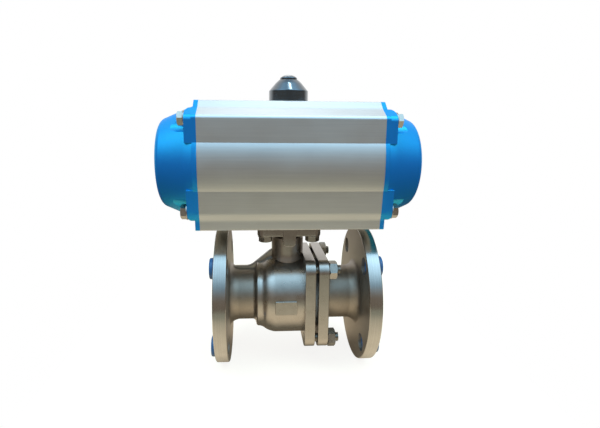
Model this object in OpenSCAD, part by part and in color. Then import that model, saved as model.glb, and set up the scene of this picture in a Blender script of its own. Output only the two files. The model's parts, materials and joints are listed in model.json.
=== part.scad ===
// Quarter-turn rack-and-pinion pneumatic actuator on a two-piece flanged ball valve.
// Millimetres. The origin is where the pipe axis (X) crosses the stem axis (Z).

/* [Pipe flanges] */
// Outside diameter of both pipe flanges
flange_d = 150; // [100:1:220]
// Thickness of a flange rim without its raised face
flange_t = 13.5; // [8:0.5:30]
// Diameter of the circle that the flange bolt holes lie on
bolt_circle_d = 120.7; // [100:0.1:180]
// Diameter of a flange bolt hole
flange_hole_d = 19; // [10:0.5:26]
// Diameter of the raised sealing face
raised_face_d = 92; // [60:1:98]
// Height of the raised sealing face
raised_face_h = 2.5; // [1:0.5:5]
// Stem axis to the rim of the left flange
left_reach = 77.5; // [72:0.5:140]
// Stem axis to the rim of the right flange
right_reach = 90.5; // [86:0.5:140]

/* [Valve castings] */
// Diameter of the full flow bore
flow_d = 40; // [20:1:44]
// Outside diameter of the pipe necks
neck_d = 59; // [52:0.5:64]
// Diameter of the hub where a neck meets its flange
hub_d = 68; // [60:0.5:72]
// Diameter of the step between neck and ball housing
step_d = 74; // [70:0.5:84]
// Length of the step between neck and ball housing
step_len = 8; // [4:0.5:14]
// Outside diameter of the ball housing
housing_d = 88; // [84:0.5:96]
// Left end of the ball housing, from the stem axis
housing_left = 26.5; // [24:0.5:34]
// Width across the square body flange
square_w = 96; // [92:0.5:110]
// Corner radius of the square body flange
square_corner = 9; // [4:0.5:14]
// Thickness of each square body flange
square_t = 11; // [8:0.5:16]
// Left face of the square body flange, from the stem axis
square_left = 16; // [14:0.5:20]
// Open gap between the two square flanges
joint_gap = 3; // [1:0.5:5]
// Distance between stud centres on the square flange
stud_spacing = 76; // [70:0.5:84]
// Outside diameter of the stem collar
collar_d = 35; // [32:0.5:40]
// Thickness of the rib on the left neck
rib_t = 6; // [3:0.5:12]
// Height of the rib above the pipe axis
rib_z = 32; // [30.5:0.5:36]

/* [Actuator pad of the valve] */
// Width of the square actuator pad
pad_w = 66.5; // [60:0.5:80]
// Corner radius of the actuator pad
pad_corner = 8; // [3:0.5:14]
// Thickness of the actuator pad
pad_t = 10.5; // [7:0.5:16]
// Pipe axis to the top of the actuator pad
pad_z = 83.5; // [80:0.5:100]
// Diameter of the circle of pad bolts
pad_circle_d = 70; // [64:0.5:76]
// Width of the web under the front and the back of the pad
web_w = 13.5; // [8:0.5:20]
// Drop of the web below the pad
web_drop = 11; // [7:0.5:14]

/* [Ball, seats and stem] */
// Diameter of the ball
ball_d = 62; // [58:0.5:64]
// Outside diameter of a seat ring
seat_d = 56; // [50:0.5:60]
// Length of a seat ring along the pipe
seat_len = 12; // [8:0.5:14]
// Diameter of the stem
stem_d = 18; // [14:0.5:20]
// Width across the square of the stem top
stem_square = 14; // [11:0.5:16]
// Length of the square of the stem top
stem_square_len = 20; // [12:0.5:24]
// Thickness of the stem tang
tang_t = 9; // [6:0.5:12]
// Outside diameter of the stem packing
packing_d = 26; // [22:0.5:28]
// Height of one packing ring
packing_ring_h = 3.3; // [2:0.1:4]
// Height of the gland ring
gland_h = 8; // [5:0.5:10]
// Width across the flats of the stem nut
stem_nut_af = 24; // [22:0.5:27]

/* [Actuator body] */
// Pipe axis to the cylinder axis of the actuator
cylinder_z = 146.5; // [140:0.5:180]
// Length of the extruded body
body_len = 179; // [176:0.5:220]
// Diameter of the cylinder bore
cylinder_d = 100; // [90:0.5:104]
// Diameter of the round middle of the body
bulge_d = 121; // [116:0.5:124]
// Width across the upper flat sides of the body
boss_w = 112; // [106:0.5:118]
// Height of the upper flat sides above the cylinder axis
boss_z = 47.5; // [42:0.5:50]
// Width of the body where its upper slope turns up to the top land
shoulder_w = 82; // [76:0.5:88]
// Height above the cylinder axis where the upper slope turns up to the top land
shoulder_z = 55.5; // [52:0.5:60]
// Width of the flat top land
land_w = 64; // [60:0.5:74]
// Width of the body at the lower end of its lower sides
heel_w = 106; // [104:0.5:112]
// Depth below the cylinder axis of the lower end of the lower sides
heel_z = 46; // [42:0.5:50]
// Width of the body where it turns down to the bottom land
sole_w = 101; // [96:0.5:106]
// Depth below the cylinder axis where the body turns down to the bottom land
sole_z = 53; // [51:0.5:58]
// Width of the flat bottom land
foot_w = 94; // [84:0.5:100]

/* [Air ports on the back] */
// Thread diameter of an air port
port_d = 13.2; // [8:0.1:16]
// Distance between the two air ports
port_pitch = 24; // [20:0.5:30]
// Distance of the four pad holes along the body
port_hole_x = 32; // [26:0.5:40]
// Distance of the four pad holes in height
port_hole_z = 24; // [18:0.5:30]
// Thread diameter of the pad holes and the top holes
small_thread_d = 5; // [4:0.5:6]

/* [Top interface] */
// Distance of the top holes along the body
top_hole_x = 80; // [60:0.5:130]
// Distance of the top holes across the body
top_hole_y = 30; // [24:0.5:40]
// Depth of the top holes and the pad holes
small_thread_len = 9; // [5:0.5:10]

/* [End caps] */
// Thickness of the cap's base plate
plate_t = 4.5; // [3:0.5:8]
// Thickness of the cap at its bolts
lug_t = 11.5; // [8:0.5:16]
// Height of the lower edge of the lugs above the cylinder axis
lug_z = 22; // [16:0.5:26]
// Length of the dome beyond the body
dome_len = 47; // [40:0.5:60]
// Rounding of the dome's side, as the radius of its arc
dome_side_r = 150; // [100:5:300]
// Rounding of the dome's outer edge, as the radius of its arc
dome_edge_r = 12; // [9:0.5:20]
// Rounding of the dome's end, as the radius of its arc
dome_end_r = 300; // [150:10:600]
// Distance between the cap bolts, both ways
cap_bolt_spacing = 89; // [86:0.5:92]
// Diameter of the pocket round a cap bolt
pocket_d = 24; // [20:0.5:26]

/* [Pinion and racks] */
// Tooth size of pinion and racks
gear_module = 2; // [1.5:0.1:2.5]
// Number of pinion teeth
gear_teeth = 20; // [16:4:24]
// Height of the toothed band
gear_h = 48; // [30:1:50]
// Play between the teeth
backlash = 0.3; // [0.1:0.05:0.6]
// Diameter of the pinion's lower journal
lower_journal_d = 38; // [30:0.5:42]
// Diameter of the pinion's upper journal
upper_journal_d = 26; // [22:0.5:27]
// Diameter of the pinion at the stop cam
cam_seat_d = 28; // [27:0.5:30]
// Height of the pinion top above the body
shaft_top = 20; // [12:0.5:24]
// Width across the flats of the pinion top
shaft_flats = 18; // [14:0.5:22]
// Thickness of a piston head
piston_t = 17; // [14:0.5:20]
// Gap between piston and cap at the open end of the stroke
end_gap = 1; // [0.5:0.5:3]
// Overhang of the rack beyond the pinion axis
rack_overhang = 7.5; // [5:0.5:8]
// Thickness of the rack arm behind its teeth
rack_arm_t = 13.5; // [8:0.5:16]
// Height of the rack arm
rack_arm_h = 40; // [30:1:44]

/* [Travel stop] */
// Height of the stop cam
cam_h = 12; // [8:0.5:14]
// Centre of the stop cam above the cylinder axis
cam_z = 34; // [32:0.5:36]
// Reach of the cam's lobes
cam_reach = 28; // [25:0.5:31]
// Width of the cam's lobes
cam_lobe_w = 16; // [12:0.5:20]
// Sideways place of the stop screws
stop_x = 20; // [19:0.5:23]
// Play left between the cam and a stop screw
stop_play = 0.1; // [0.05:0.05:0.3]

/* [Position indicator] */
// Diameter of the indicator
indicator_d = 41; // [40:0.5:56]
// Height of the indicator's straight side
indicator_side = 11.6; // [10:0.2:20]
// Height of the indicator's domed part
indicator_dome = 11.1; // [8:0.1:16]
// Rounding of the indicator's dome, as the radius of its arc
indicator_dome_r = 29; // [18:0.5:60]
// Diameter of the indicator's button
button_d = 18; // [12:0.5:22]
// Height of the indicator's button
button_h = 4.5; // [3:0.1:8]

/* [Fasteners] */
// Thread diameter of cap bolts and pad bolts
bolt_d = 8; // [6:1:10]
// Width across the flats of a bolt head
bolt_af = 13; // [10:0.5:17]
// Height of a bolt head
bolt_head_h = 5.3; // [4:0.1:7]
// Thickness of a bolt washer
washer_t = 1.6; // [1:0.1:2]
// Outside diameter of a bolt washer
washer_d = 16; // [12:0.5:18]
// Thread diameter of the body studs and stop screws
stud_d = 10; // [8:1:12]
// Width across the flats of a stud nut
nut_af = 17; // [13:0.5:19]
// Height of a stud nut
nut_h = 8.4; // [6.5:0.1:10]
// Length of stud that stands out of its nut
stud_end = 3.5; // [1:0.5:6]

/* [Bolt hole sleeves] */
// Outside diameter of the sleeve's collar
sleeve_collar_d = 21.8; // [20:0.2:21.8]
// Thickness of the sleeve's collar
sleeve_collar_t = 6; // [3:0.5:8]
// Wall of the sleeve inside the hole
sleeve_wall = 0.35; // [0.3:0.05:0.4]

/* [Clearances] */
// Radial play of turning and sliding fits
running_gap = 0.05; // [0.02:0.01:0.1]
// Radial play of a thread that is drawn plain
thread_gap = 0.05; // [0.02:0.01:0.1]
// Radial play of a bolt in a plain hole
hole_gap = 0.5; // [0.3:0.1:1]
// Radial play of loose inner pieces
loose_gap = 0.3; // [0.2:0.05:0.5]

/* [Hidden] */
$fn = 96;

// Valve, worked out
eps = 0.01;
left_face = -left_reach - raised_face_h;
right_face = right_reach + raised_face_h;
left_rim_inner = -left_reach + flange_t;
right_rim_inner = right_reach - flange_t;
flange_hole_at = bolt_circle_d / 2 * sin(45);
hub_len = 5;
square_right = square_left + square_t;
end_square_left = square_right + joint_gap;
end_square_right = end_square_left + square_t;
stud_at = stud_spacing / 2;
ball_r = ball_d / 2;
chamber_r = ball_r + 3;
chamber_left = -housing_left - 1;
seat_r = seat_d / 2;
seat_out = sqrt(ball_r * ball_r - flow_d * flow_d / 4) + 8.3;
seat_in = seat_out - seat_len;
spigot_left = 22.5;
gasket_recess = 2;
gasket_r = chamber_r + 4;
name_pad_x = -15;
name_pad_z = -9;
name_pad_w = 23;
name_pad_h = 15;
name_pad_proud = 1.5;
pad_bottom = pad_z - pad_t;
rib_bend_x = -housing_left - 15;
rib_top_z = housing_d / 2 + 8;
collar_root_w = 10;
collar_root_h = 11;
collar_root_z = housing_d / 2 - 5;
stem_recess_r = stem_nut_af / 2 + 4.5;
pad_bolt_at = pad_circle_d / 2 * sin(45);

// Stem, worked out
stem_r = stem_d / 2;
stem_shoulder_r = stem_r + 3;
shoulder_bottom = chamber_r + 0.5;
shoulder_t = 3;
thrust_t = 1.5;
shoulder_top = shoulder_bottom + shoulder_t;
stem_seat_z = shoulder_top + thrust_t;
slot_depth = 8.5;
slot_bottom = ball_r - slot_depth;
packing_z = pad_bottom - 15;
gland_z = packing_z + 3 * packing_ring_h;
gland_recess_z = gland_z + gland_h - 1;
spring_t = 1.4;
spring_z = gland_z + gland_h;
stem_nut_z = spring_z + 2 * spring_t;
stem_nut_h = 4;
stem_round_top = pad_z + 0.5;
stem_top = stem_round_top + stem_square_len;
o_ring_section = 2;
o_ring_z = stem_seat_z + 9;

// Actuator, worked out
half_len = body_len / 2;
cylinder_r = cylinder_d / 2;
bulge_r = bulge_d / 2;
boss_y = boss_w / 2;
shoulder_y = shoulder_w / 2;
land_y = land_w / 2;
heel_y = heel_w / 2;
sole_y = sole_w / 2;
foot_y = foot_w / 2;
land_z = cylinder_z - pad_z;
cap_bolt_at = cap_bolt_spacing / 2;
bolt_r = bolt_d / 2;
bolt_thread_len = 12;
port_r = port_d / 2;
port_pad_y = bulge_r + 2;
port_pad_w = 56;
port_pad_h = 36;
gallery_r = 1.5;
gallery_y = cylinder_r + 2.9;
gallery_z = port_r + gallery_r + 1;
air_hole_r = 3;
lug_face = half_len + lug_t;
dome_wall = 6;
dome_shoulder = [bulge_r - 14, dome_len - 10.5];
dome_crown = [bulge_r - 23.5, dome_len - 2.1];
cap_bolt_grip = 20;
cap_gasket_r = bulge_r - 3.1;
cap_gasket_w = 2;
cap_gasket_t = 1.6;

// Drive, worked out
pitch_r = gear_module * gear_teeth / 2;
tip_r = pitch_r + gear_module;
root_r = pitch_r - 1.25 * gear_module;
base_r = pitch_r * cos(20);
tooth_pitch = PI * gear_module;
lower_journal_r = lower_journal_d / 2;
upper_journal_r = upper_journal_d / 2;
cam_seat_flats = cam_seat_d - 5;
bottom_bush_r = tip_r + running_gap;
bottom_bush_t = 7;
top_bush_r = upper_journal_r + 3;
top_bush_t = 6.5;
shaft_seal = 2;
shaft_seal_z = cylinder_r + 3;
seal_groove_w = 2.6;
pinion_bottom = -land_z + 1.5;
pinion_top = land_z + shaft_top;
shaft_top_r = upper_journal_r - 1;
shaft_slot = 4;
washer_stack_r = upper_journal_r + 4.5;
thrust_washer_t = 1.5;
backing_washer_t = 1;
snap_ring_t = 1.5;
snap_ring_z = land_z + thrust_washer_t + backing_washer_t;
snap_groove_r = upper_journal_r - 1.2;
piston_outer = half_len - end_gap;
piston_inner = piston_outer - piston_t;
piston_r = cylinder_r - 0.4;
piston_seal_d = 3.5;
piston_seal_x = piston_outer - 3.5;
band_w = 6;
band_t = 1.9;
band_x = piston_inner + 2.5;
hollow_depth = 8;
hollow_r = cylinder_r - 12;
rack_back = pitch_r + 1.25 * gear_module + rack_arm_t;
shoe_h = 24;
shoe_x = 20;
shoe_len = 40;

// Stop, worked out
stud_r = stud_d / 2;
cam_hub_r = 16.5;
stop_tip_y = cam_lobe_w / 2 + stop_play;
stop_seal_t = 2;
stop_nut_h = 6;
stop_screw_end = boss_y + stop_seal_t + stop_nut_h + 5;

// Indicator, worked out
indicator_z = land_z + 1;
indicator_side_z = indicator_z + indicator_side;
indicator_dome_z = indicator_side_z + indicator_dome;
indicator_r = indicator_d / 2;
indicator_hollow_r = washer_stack_r + 1.2;
indicator_hollow_z = snap_ring_z + snap_ring_t + 1.5;

// Shared shapes

// Cylinder along X from x1 to x2
module bar_x(r, x1, x2) {
    translate([x1, 0, 0]) rotate([0, 90, 0]) cylinder(r = r, h = x2 - x1);
}

// Cone along X from radius r1 at x1 to r2 at x2
module cone_x(r1, r2, x1, x2) {
    translate([x1, 0, 0]) rotate([0, 90, 0]) cylinder(r1 = r1, r2 = r2, h = x2 - x1);
}

// Ring along Z
module ring(r_in, r_out, z1, z2) {
    translate([0, 0, z1]) difference() {
        cylinder(r = r_out, h = z2 - z1);
        translate([0, 0, -1]) cylinder(r = r_in, h = z2 - z1 + 2);
    }
}

// Ring along X
module ring_x(r_in, r_out, x1, x2) {
    difference() {
        bar_x(r_out, x1, x2);
        bar_x(r_in, x1 - 1, x2 + 1);
    }
}

// Round-section ring about Z
module round_ring(r_mid, section) {
    rotate_extrude() translate([r_mid, 0]) circle(d = section, $fn = 48);
}

// Hexagon prism along Z
module hex(af, h) {
    cylinder(d = af / cos(30), h = h, $fn = 6);
}

// Square with round corners, centred
module round_square(w, corner) {
    square([w - 2 * corner, w], center = true);
    square([w, w - 2 * corner], center = true);
    for (sx = [-1, 1], sy = [-1, 1])
        translate([sx * (w / 2 - corner), sy * (w / 2 - corner)]) circle(r = corner);
}

// Turn a drawing in Y and Z into a prism along X from x1 to x2
module prism_x(x1, x2) {
    translate([x1, 0, 0]) rotate([90, 0, 90]) linear_extrude(x2 - x1) children();
}

// Place at the four places (y, z) round the X axis
module four_x(at) {
    for (sy = [-1, 1], sz = [-1, 1]) translate([0, sy * at, sz * at]) children();
}

// Place at the four places (x, y) round the Z axis
module four_z(at_x, at_y) {
    for (sx = [-1, 1], sy = [-1, 1]) translate([sx * at_x, sy * at_y, 0]) children();
}

// Everything on the cylinder axis
module on_cylinder() {
    translate([0, 0, cylinder_z]) children();
}

// The other end of the actuator, half a turn round the pinion
module other_end() {
    rotate([0, 0, 180]) children();
}

// Valve castings

module flange_disc(rim_outer, rim_inner, face) {
    bar_x(flange_d / 2, min(rim_outer, rim_inner), max(rim_outer, rim_inner));
    bar_x(raised_face_d / 2, min(rim_outer, face), max(rim_outer, face));
}

module flange_holes(x1, x2) {
    four_x(flange_hole_at) bar_x(flange_hole_d / 2, x1, x2);
}

module square_plate(x1) {
    prism_x(x1, x1 + square_t) round_square(square_w, square_corner);
}

// Blank raised plate on the front of the ball housing
module name_pad() {
    translate([name_pad_x, -housing_d / 2 - name_pad_proud, name_pad_z])
        cube([name_pad_w, housing_d / 2 - chamber_r, name_pad_h]);
}

// Rib from the left flange up to the stem collar
module neck_rib() {
    rotate([90, 0, 0]) linear_extrude(rib_t, center = true) polygon([
        [left_rim_inner - 1, 0], [left_rim_inner - 1, rib_z], [rib_bend_x, rib_z],
        [-collar_d / 2, rib_top_z], [-collar_d / 2 + 4, rib_top_z], [-collar_d / 2 + 4, 0]
    ]);
}

// Rounded web under the front and the back of the pad
module pad_web() {
    translate([0, 0, pad_bottom - web_drop + web_w / 2]) {
        rotate([90, 0, 0]) cylinder(d = web_w, h = pad_w - 4, center = true);
        translate([-web_w / 2, -pad_w / 2 + 2, 0]) cube([web_w, pad_w - 4, web_drop - web_w / 2 + 1]);
    }
}

module stem_tower() {
    cylinder(d = collar_d, h = pad_z - 1);
    translate([0, 0, collar_root_z])
        cylinder(d1 = collar_d + 2 * collar_root_w, d2 = collar_d, h = collar_root_h);
    translate([0, 0, pad_bottom]) linear_extrude(pad_t) round_square(pad_w, pad_corner);
    pad_web();
}

module stem_passage() {
    cylinder(r = stem_r + running_gap, h = pad_z + 1);
    cylinder(r = stem_shoulder_r + loose_gap, h = stem_seat_z);
    translate([0, 0, packing_z]) cylinder(d = packing_d, h = pad_z);
    translate([0, 0, gland_recess_z]) cylinder(r = stem_recess_r, h = pad_z);
    four_z(pad_bolt_at, pad_bolt_at) translate([0, 0, pad_bottom - 1])
        cylinder(r = bolt_r + hole_gap, h = pad_t + 2);
}

module valve_body() {
    color("silver") difference() {
        union() {
            flange_disc(-left_reach, left_rim_inner, left_face);
            cone_x(hub_d / 2, neck_d / 2, left_rim_inner - eps, left_rim_inner + hub_len);
            bar_x(neck_d / 2, left_rim_inner, 0);
            bar_x(step_d / 2, -housing_left - step_len, 0);
            cone_x(step_d / 2, housing_d / 2, -housing_left, -housing_left + 6);
            bar_x(housing_d / 2, -housing_left + 6, square_left + 1);
            square_plate(square_left);
            neck_rib();
            stem_tower();
            name_pad();
        }
        bar_x(flow_d / 2, left_face - 1, 0);
        bar_x(seat_r + loose_gap, -seat_out, 0);
        bar_x(chamber_r, chamber_left, square_right + 1);
        bar_x(gasket_r, square_right - gasket_recess, square_right + 1);
        flange_holes(left_face - 1, left_rim_inner + 1);
        four_x(stud_at) bar_x(stud_r + thread_gap, square_left - 1, square_right + 1);
        stem_passage();
    }
}

module valve_end_piece() {
    color("silver") difference() {
        union() {
            square_plate(end_square_left);
            bar_x(chamber_r - 0.2, spigot_left, end_square_left + 1);
            bar_x(neck_d / 2, end_square_left, right_reach);
            cone_x(neck_d / 2, hub_d / 2, right_rim_inner - hub_len, right_rim_inner + eps);
            flange_disc(right_reach, right_rim_inner, right_face);
        }
        bar_x(flow_d / 2, 0, right_face + 1);
        bar_x(seat_r + loose_gap, 0, seat_out);
        flange_holes(right_rim_inner - 1, right_face + 1);
        four_x(stud_at) bar_x(stud_r + hole_gap, end_square_left - 1, end_square_right + 1);
    }
}

// Ball, seats and stem

module ball() {
    color("gainsboro") difference() {
        sphere(r = ball_r);
        bar_x(flow_d / 2, -ball_r, ball_r);
        translate([-tang_t / 2 - 0.2, -ball_r, slot_bottom]) cube([tang_t + 0.4, 2 * ball_r, ball_r]);
    }
}

module seat() {
    difference() {
        bar_x(seat_r, seat_in, seat_out);
        bar_x(flow_d / 2, seat_in - 1, seat_out + 1);
        sphere(r = ball_r + running_gap);
    }
}

module left_seat() {
    color("white") mirror([1, 0, 0]) seat();
}

module right_seat() {
    color("white") seat();
}

module body_gasket() {
    color("white") ring_x(chamber_r + 0.1, gasket_r - 0.1, square_right - gasket_recess, end_square_left);
}

module body_studs() {
    color("silver") four_x(stud_at) bar_x(stud_r, square_left, end_square_right + nut_h + stud_end);
}

module body_nuts() {
    color("silver") four_x(stud_at) translate([end_square_right, 0, 0]) rotate([0, 90, 0])
        difference() {
            hex(nut_af, nut_h);
            translate([0, 0, -1]) cylinder(r = stud_r + thread_gap, h = nut_h + 2);
        }
}

module stem() {
    color("silver") difference() {
        union() {
            translate([0, 0, shoulder_top - 1]) cylinder(r = stem_r, h = stem_round_top - shoulder_top + 1);
            translate([0, 0, shoulder_bottom]) cylinder(r = stem_shoulder_r, h = shoulder_t);
            intersection() {
                cylinder(r = stem_shoulder_r, h = shoulder_top);
                translate([-tang_t / 2, -ball_r, slot_bottom + 0.2])
                    cube([tang_t, 2 * ball_r, shoulder_top - slot_bottom - 0.2]);
            }
            intersection() {
                translate([0, 0, stem_round_top - eps]) cylinder(r = stem_r, h = stem_square_len);
                translate([-stem_square / 2, -stem_square / 2, 0])
                    cube([stem_square, stem_square, stem_top]);
            }
        }
        ring(stem_r - o_ring_section, stem_r + 1, o_ring_z - seal_groove_w / 2, o_ring_z + seal_groove_w / 2);
    }
}

module stem_thrust_washer() {
    color("white") ring(stem_r + running_gap, stem_shoulder_r, shoulder_top, stem_seat_z);
}

module stem_o_ring() {
    color("black") translate([0, 0, o_ring_z])
        round_ring(stem_r - o_ring_section / 2 + running_gap / 2, o_ring_section);
}

module stem_packing() {
    color("white") for (i = [0:2])
        ring(stem_r + running_gap, packing_d / 2 - running_gap,
            packing_z + i * packing_ring_h, packing_z + (i + 1) * packing_ring_h - running_gap);
}

module gland_ring() {
    color("silver") ring(stem_r + 0.1, packing_d / 2 - 0.1, gland_z, spring_z);
}

// One coned spring washer, its hollow side down
module coned_washer() {
    rotate_extrude() polygon([
        [stem_r + 0.2, 0.4], [stem_r + 4.5, 0], [stem_r + 4.5, 1], [stem_r + 0.2, spring_t]
    ]);
}

module disc_springs() {
    color("silver") {
        translate([0, 0, spring_z]) coned_washer();
        translate([0, 0, stem_nut_z]) mirror([0, 0, 1]) coned_washer();
    }
}

module stem_nut() {
    color("silver") translate([0, 0, stem_nut_z]) difference() {
        hex(stem_nut_af, stem_nut_h);
        translate([0, 0, -1]) cylinder(r = stem_r + thread_gap, h = stem_nut_h + 2);
    }
}

// Fasteners of the pad and plastic sleeves of the front flange holes

module pad_bolts() {
    color("silver") four_z(pad_bolt_at, pad_bolt_at) {
        translate([0, 0, pad_bottom - washer_t - bolt_head_h]) hex(bolt_af, bolt_head_h);
        translate([0, 0, pad_bottom - washer_t - eps])
            cylinder(r = bolt_r, h = washer_t + pad_t + bolt_thread_len - 1.5);
    }
}

module pad_washers() {
    color("silver") four_z(pad_bolt_at, pad_bolt_at)
        ring(bolt_r + 0.2, washer_d / 2, pad_bottom - washer_t, pad_bottom);
}

module sleeve(rim_outer, out) {
    x_in = rim_outer - out * (flange_t - 3.5);
    x_out = rim_outer + out * sleeve_collar_t;
    difference() {
        union() {
            bar_x(sleeve_collar_d / 2, min(rim_outer, x_out), max(rim_outer, x_out));
            bar_x(flange_hole_d / 2 - running_gap, min(x_in, x_out), max(x_in, x_out));
        }
        bar_x(flange_hole_d / 2 - sleeve_wall - running_gap, min(x_in, x_out) - 1, max(x_in, x_out) + 1);
    }
}

module flange_hole_sleeves() {
    color("royalblue") for (sz = [-1, 1]) translate([0, -flange_hole_at, sz * flange_hole_at]) {
        sleeve(-left_reach, -1);
        sleeve(right_reach, 1);
    }
}

// Actuator body and end caps

// Outline of the extruded body in Y and Z
module body_outline() {
    circle(r = bulge_r);
    polygon([
        [foot_y, -land_z], [sole_y, -sole_z], [heel_y, -heel_z], [boss_y, -lug_z],
        [boss_y, boss_z], [shoulder_y, shoulder_z], [land_y, land_z],
        [-land_y, land_z], [-shoulder_y, shoulder_z], [-boss_y, boss_z],
        [-boss_y, -lug_z], [-heel_y, -heel_z], [-sole_y, -sole_z], [-foot_y, -land_z]
    ]);
}

// Tapped holes, air ports and air galleries
module body_drillings() {
    for (sx = [-1, 1]) {
        four_x(cap_bolt_at) bar_x(bolt_r + thread_gap,
            sx * half_len - cap_bolt_grip - 2, sx * half_len + cap_bolt_grip + 2);
        translate([sx * port_pitch / 2, gallery_y, 0]) rotate([-90, 0, 0]) cylinder(r = port_r, h = 20);
        translate([sx * stop_x, 0, cam_z]) rotate([-90, 0, 0])
            cylinder(r = stud_r + thread_gap, h = boss_y + 1);
    }
    four_z(top_hole_x / 2, top_hole_y / 2) translate([0, 0, land_z - small_thread_len])
        cylinder(d = small_thread_d, h = small_thread_len + 1);
    four_z(pad_bolt_at, pad_bolt_at) translate([0, 0, -land_z - 1])
        cylinder(r = bolt_r + thread_gap, h = bolt_thread_len + 1);
    for (sx = [-1, 1], sz = [-1, 1])
        translate([sx * port_hole_x / 2, port_pad_y - small_thread_len, sz * port_hole_z / 2])
            rotate([-90, 0, 0]) cylinder(d = small_thread_d, h = small_thread_len + 1);
    translate([-port_pitch / 2, 0, 0]) rotate([-90, 0, 0]) cylinder(r = air_hole_r, h = gallery_y + 1);
    translate([0, gallery_y, gallery_z]) bar_x(gallery_r, -half_len - 1, half_len + 1);
    translate([port_pitch / 2, gallery_y + 0.8, 0]) cylinder(r = gallery_r, h = gallery_z);
}

module pinion_passage() {
    translate([0, 0, -land_z - 1]) cylinder(r = bottom_bush_r + running_gap, h = bottom_bush_t + 2);
    translate([0, 0, -land_z - 1]) cylinder(r = lower_journal_r + loose_gap, h = land_z);
    cylinder(r = upper_journal_r + loose_gap, h = land_z + 1);
    translate([0, 0, land_z - top_bush_t]) cylinder(r = top_bush_r + running_gap, h = top_bush_t + 1);
}

module actuator_body() {
    color("lightgrey") on_cylinder() difference() {
        union() {
            prism_x(-half_len, half_len) body_outline();
            translate([-port_pad_w / 2, 0, -port_pad_h / 2]) cube([port_pad_w, port_pad_y, port_pad_h]);
        }
        bar_x(cylinder_r, -half_len - 1, half_len + 1);
        body_drillings();
        pinion_passage();
    }
}

// Points of an arc of radius r from p round to q, bulging to the right of the way
function arc(p, q, r, steps) =
    let (d = q - p, half = norm(d) / 2)
    let (centre = (p + q) / 2 + sqrt(r * r - half * half) * [-d.y, d.x] / norm(d))
    let (from = atan2(p.y - centre.y, p.x - centre.x), to = atan2(q.y - centre.y, q.x - centre.x))
    [for (i = [0:steps]) let (a = from + (to - from) * i / steps) centre + r * [cos(a), sin(a)]];

// Half section of the dome, moved in by a wall, length along the second axis
module dome_section(wall) {
    side = arc([bulge_r - wall, 0], dome_shoulder - [wall, wall / 2], dome_side_r - wall, 8);
    edge = arc(dome_shoulder - [wall, wall / 2], dome_crown - [wall / 2, wall], dome_edge_r - wall / 2, 6);
    end = arc(dome_crown - [wall / 2, wall], [0, dome_len - wall], dome_end_r, 4);
    polygon(concat([[0, -wall], [bulge_r - wall, -wall]], side, edge, end));
}

// Half section of the hollow in the dome
module dome_hollow() {
    intersection() {
        dome_section(dome_wall);
        translate([0, -1]) square([cylinder_r, dome_len]);
    }
}

module turned_along_x() {
    rotate([0, 90, 0]) rotate_extrude() children();
}

// Corner blocks that carry the cap bolts
module lug_outline() {
    for (sy = [-1, 1]) scale([sy, 1]) {
        polygon([
            [land_y - 2, lug_z], [boss_y, lug_z], [boss_y, boss_z], [shoulder_y, shoulder_z],
            [land_y - 2, shoulder_z]
        ]);
        polygon([
            [land_y - 2, -lug_z], [land_y - 2, -sole_z], [sole_y, -sole_z], [heel_y, -heel_z],
            [boss_y, -lug_z]
        ]);
    }
}

module end_cap() {
    difference() {
        union() {
            prism_x(half_len, half_len + plate_t) body_outline();
            prism_x(half_len, lug_face) lug_outline();
            translate([half_len, 0, 0]) turned_along_x() dome_section(0);
        }
        translate([half_len, 0, 0]) turned_along_x() dome_hollow();
        four_x(cap_bolt_at) bar_x(pocket_d / 2, lug_face, lug_face + dome_len);
        four_x(cap_bolt_at) bar_x(bolt_r + hole_gap, half_len - 1, lug_face + 1);
        ring_x(cap_gasket_r - cap_gasket_w, cap_gasket_r, half_len - 1, half_len + cap_gasket_t);
        translate([half_len - 1, cylinder_r - 2, gallery_z - gallery_r])
            cube([3, gallery_y + gallery_r - cylinder_r + 1.7, 2 * gallery_r]);
    }
}

module right_end_cap() {
    color("deepskyblue") on_cylinder() end_cap();
}

module left_end_cap() {
    color("deepskyblue") on_cylinder() mirror([1, 0, 0]) end_cap();
}

module cap_gasket() {
    ring_x(cap_gasket_r - cap_gasket_w + 0.1, cap_gasket_r - 0.1, half_len, half_len + cap_gasket_t);
}

module right_cap_gasket() {
    color("black") on_cylinder() cap_gasket();
}

module left_cap_gasket() {
    color("black") on_cylinder() mirror([1, 0, 0]) cap_gasket();
}

module end_cap_bolts() {
    color("silver") on_cylinder() for (end = [0, 1]) mirror([end, 0, 0]) four_x(cap_bolt_at) {
        translate([lug_face + washer_t, 0, 0]) rotate([0, 90, 0]) rotate([0, 0, 30])
            hex(bolt_af, bolt_head_h);
        bar_x(bolt_r, half_len - cap_bolt_grip, lug_face + washer_t + eps);
    }
}

module end_cap_washers() {
    color("silver") on_cylinder() for (end = [0, 1]) mirror([end, 0, 0]) four_x(cap_bolt_at)
        ring_x(bolt_r + 0.2, washer_d / 2, lug_face, lug_face + washer_t);
}

// Pistons, drawn for the right end, rack on the front

// Half width of a rack gap at the height y above the pitch line
function gap_half(y) = tooth_pitch / 4 + backlash / 4 + y * tan(20);

// Toothed edge of the rack in X and Y, teeth towards +Y
module rack_teeth(x1, x2) {
    difference() {
        translate([x1, -rack_back]) square([x2 - x1, rack_back - pitch_r + gear_module]);
        for (i = [floor(x1 / tooth_pitch):1:ceil(x2 / tooth_pitch) - 3])
            translate([i * tooth_pitch, -pitch_r]) polygon([
                [-gap_half(-1.25 * gear_module), -1.25 * gear_module],
                [gap_half(-1.25 * gear_module), -1.25 * gear_module],
                [gap_half(gear_module + 0.5), gear_module + 0.5],
                [-gap_half(gear_module + 0.5), gear_module + 0.5]
            ]);
    }
}

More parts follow.
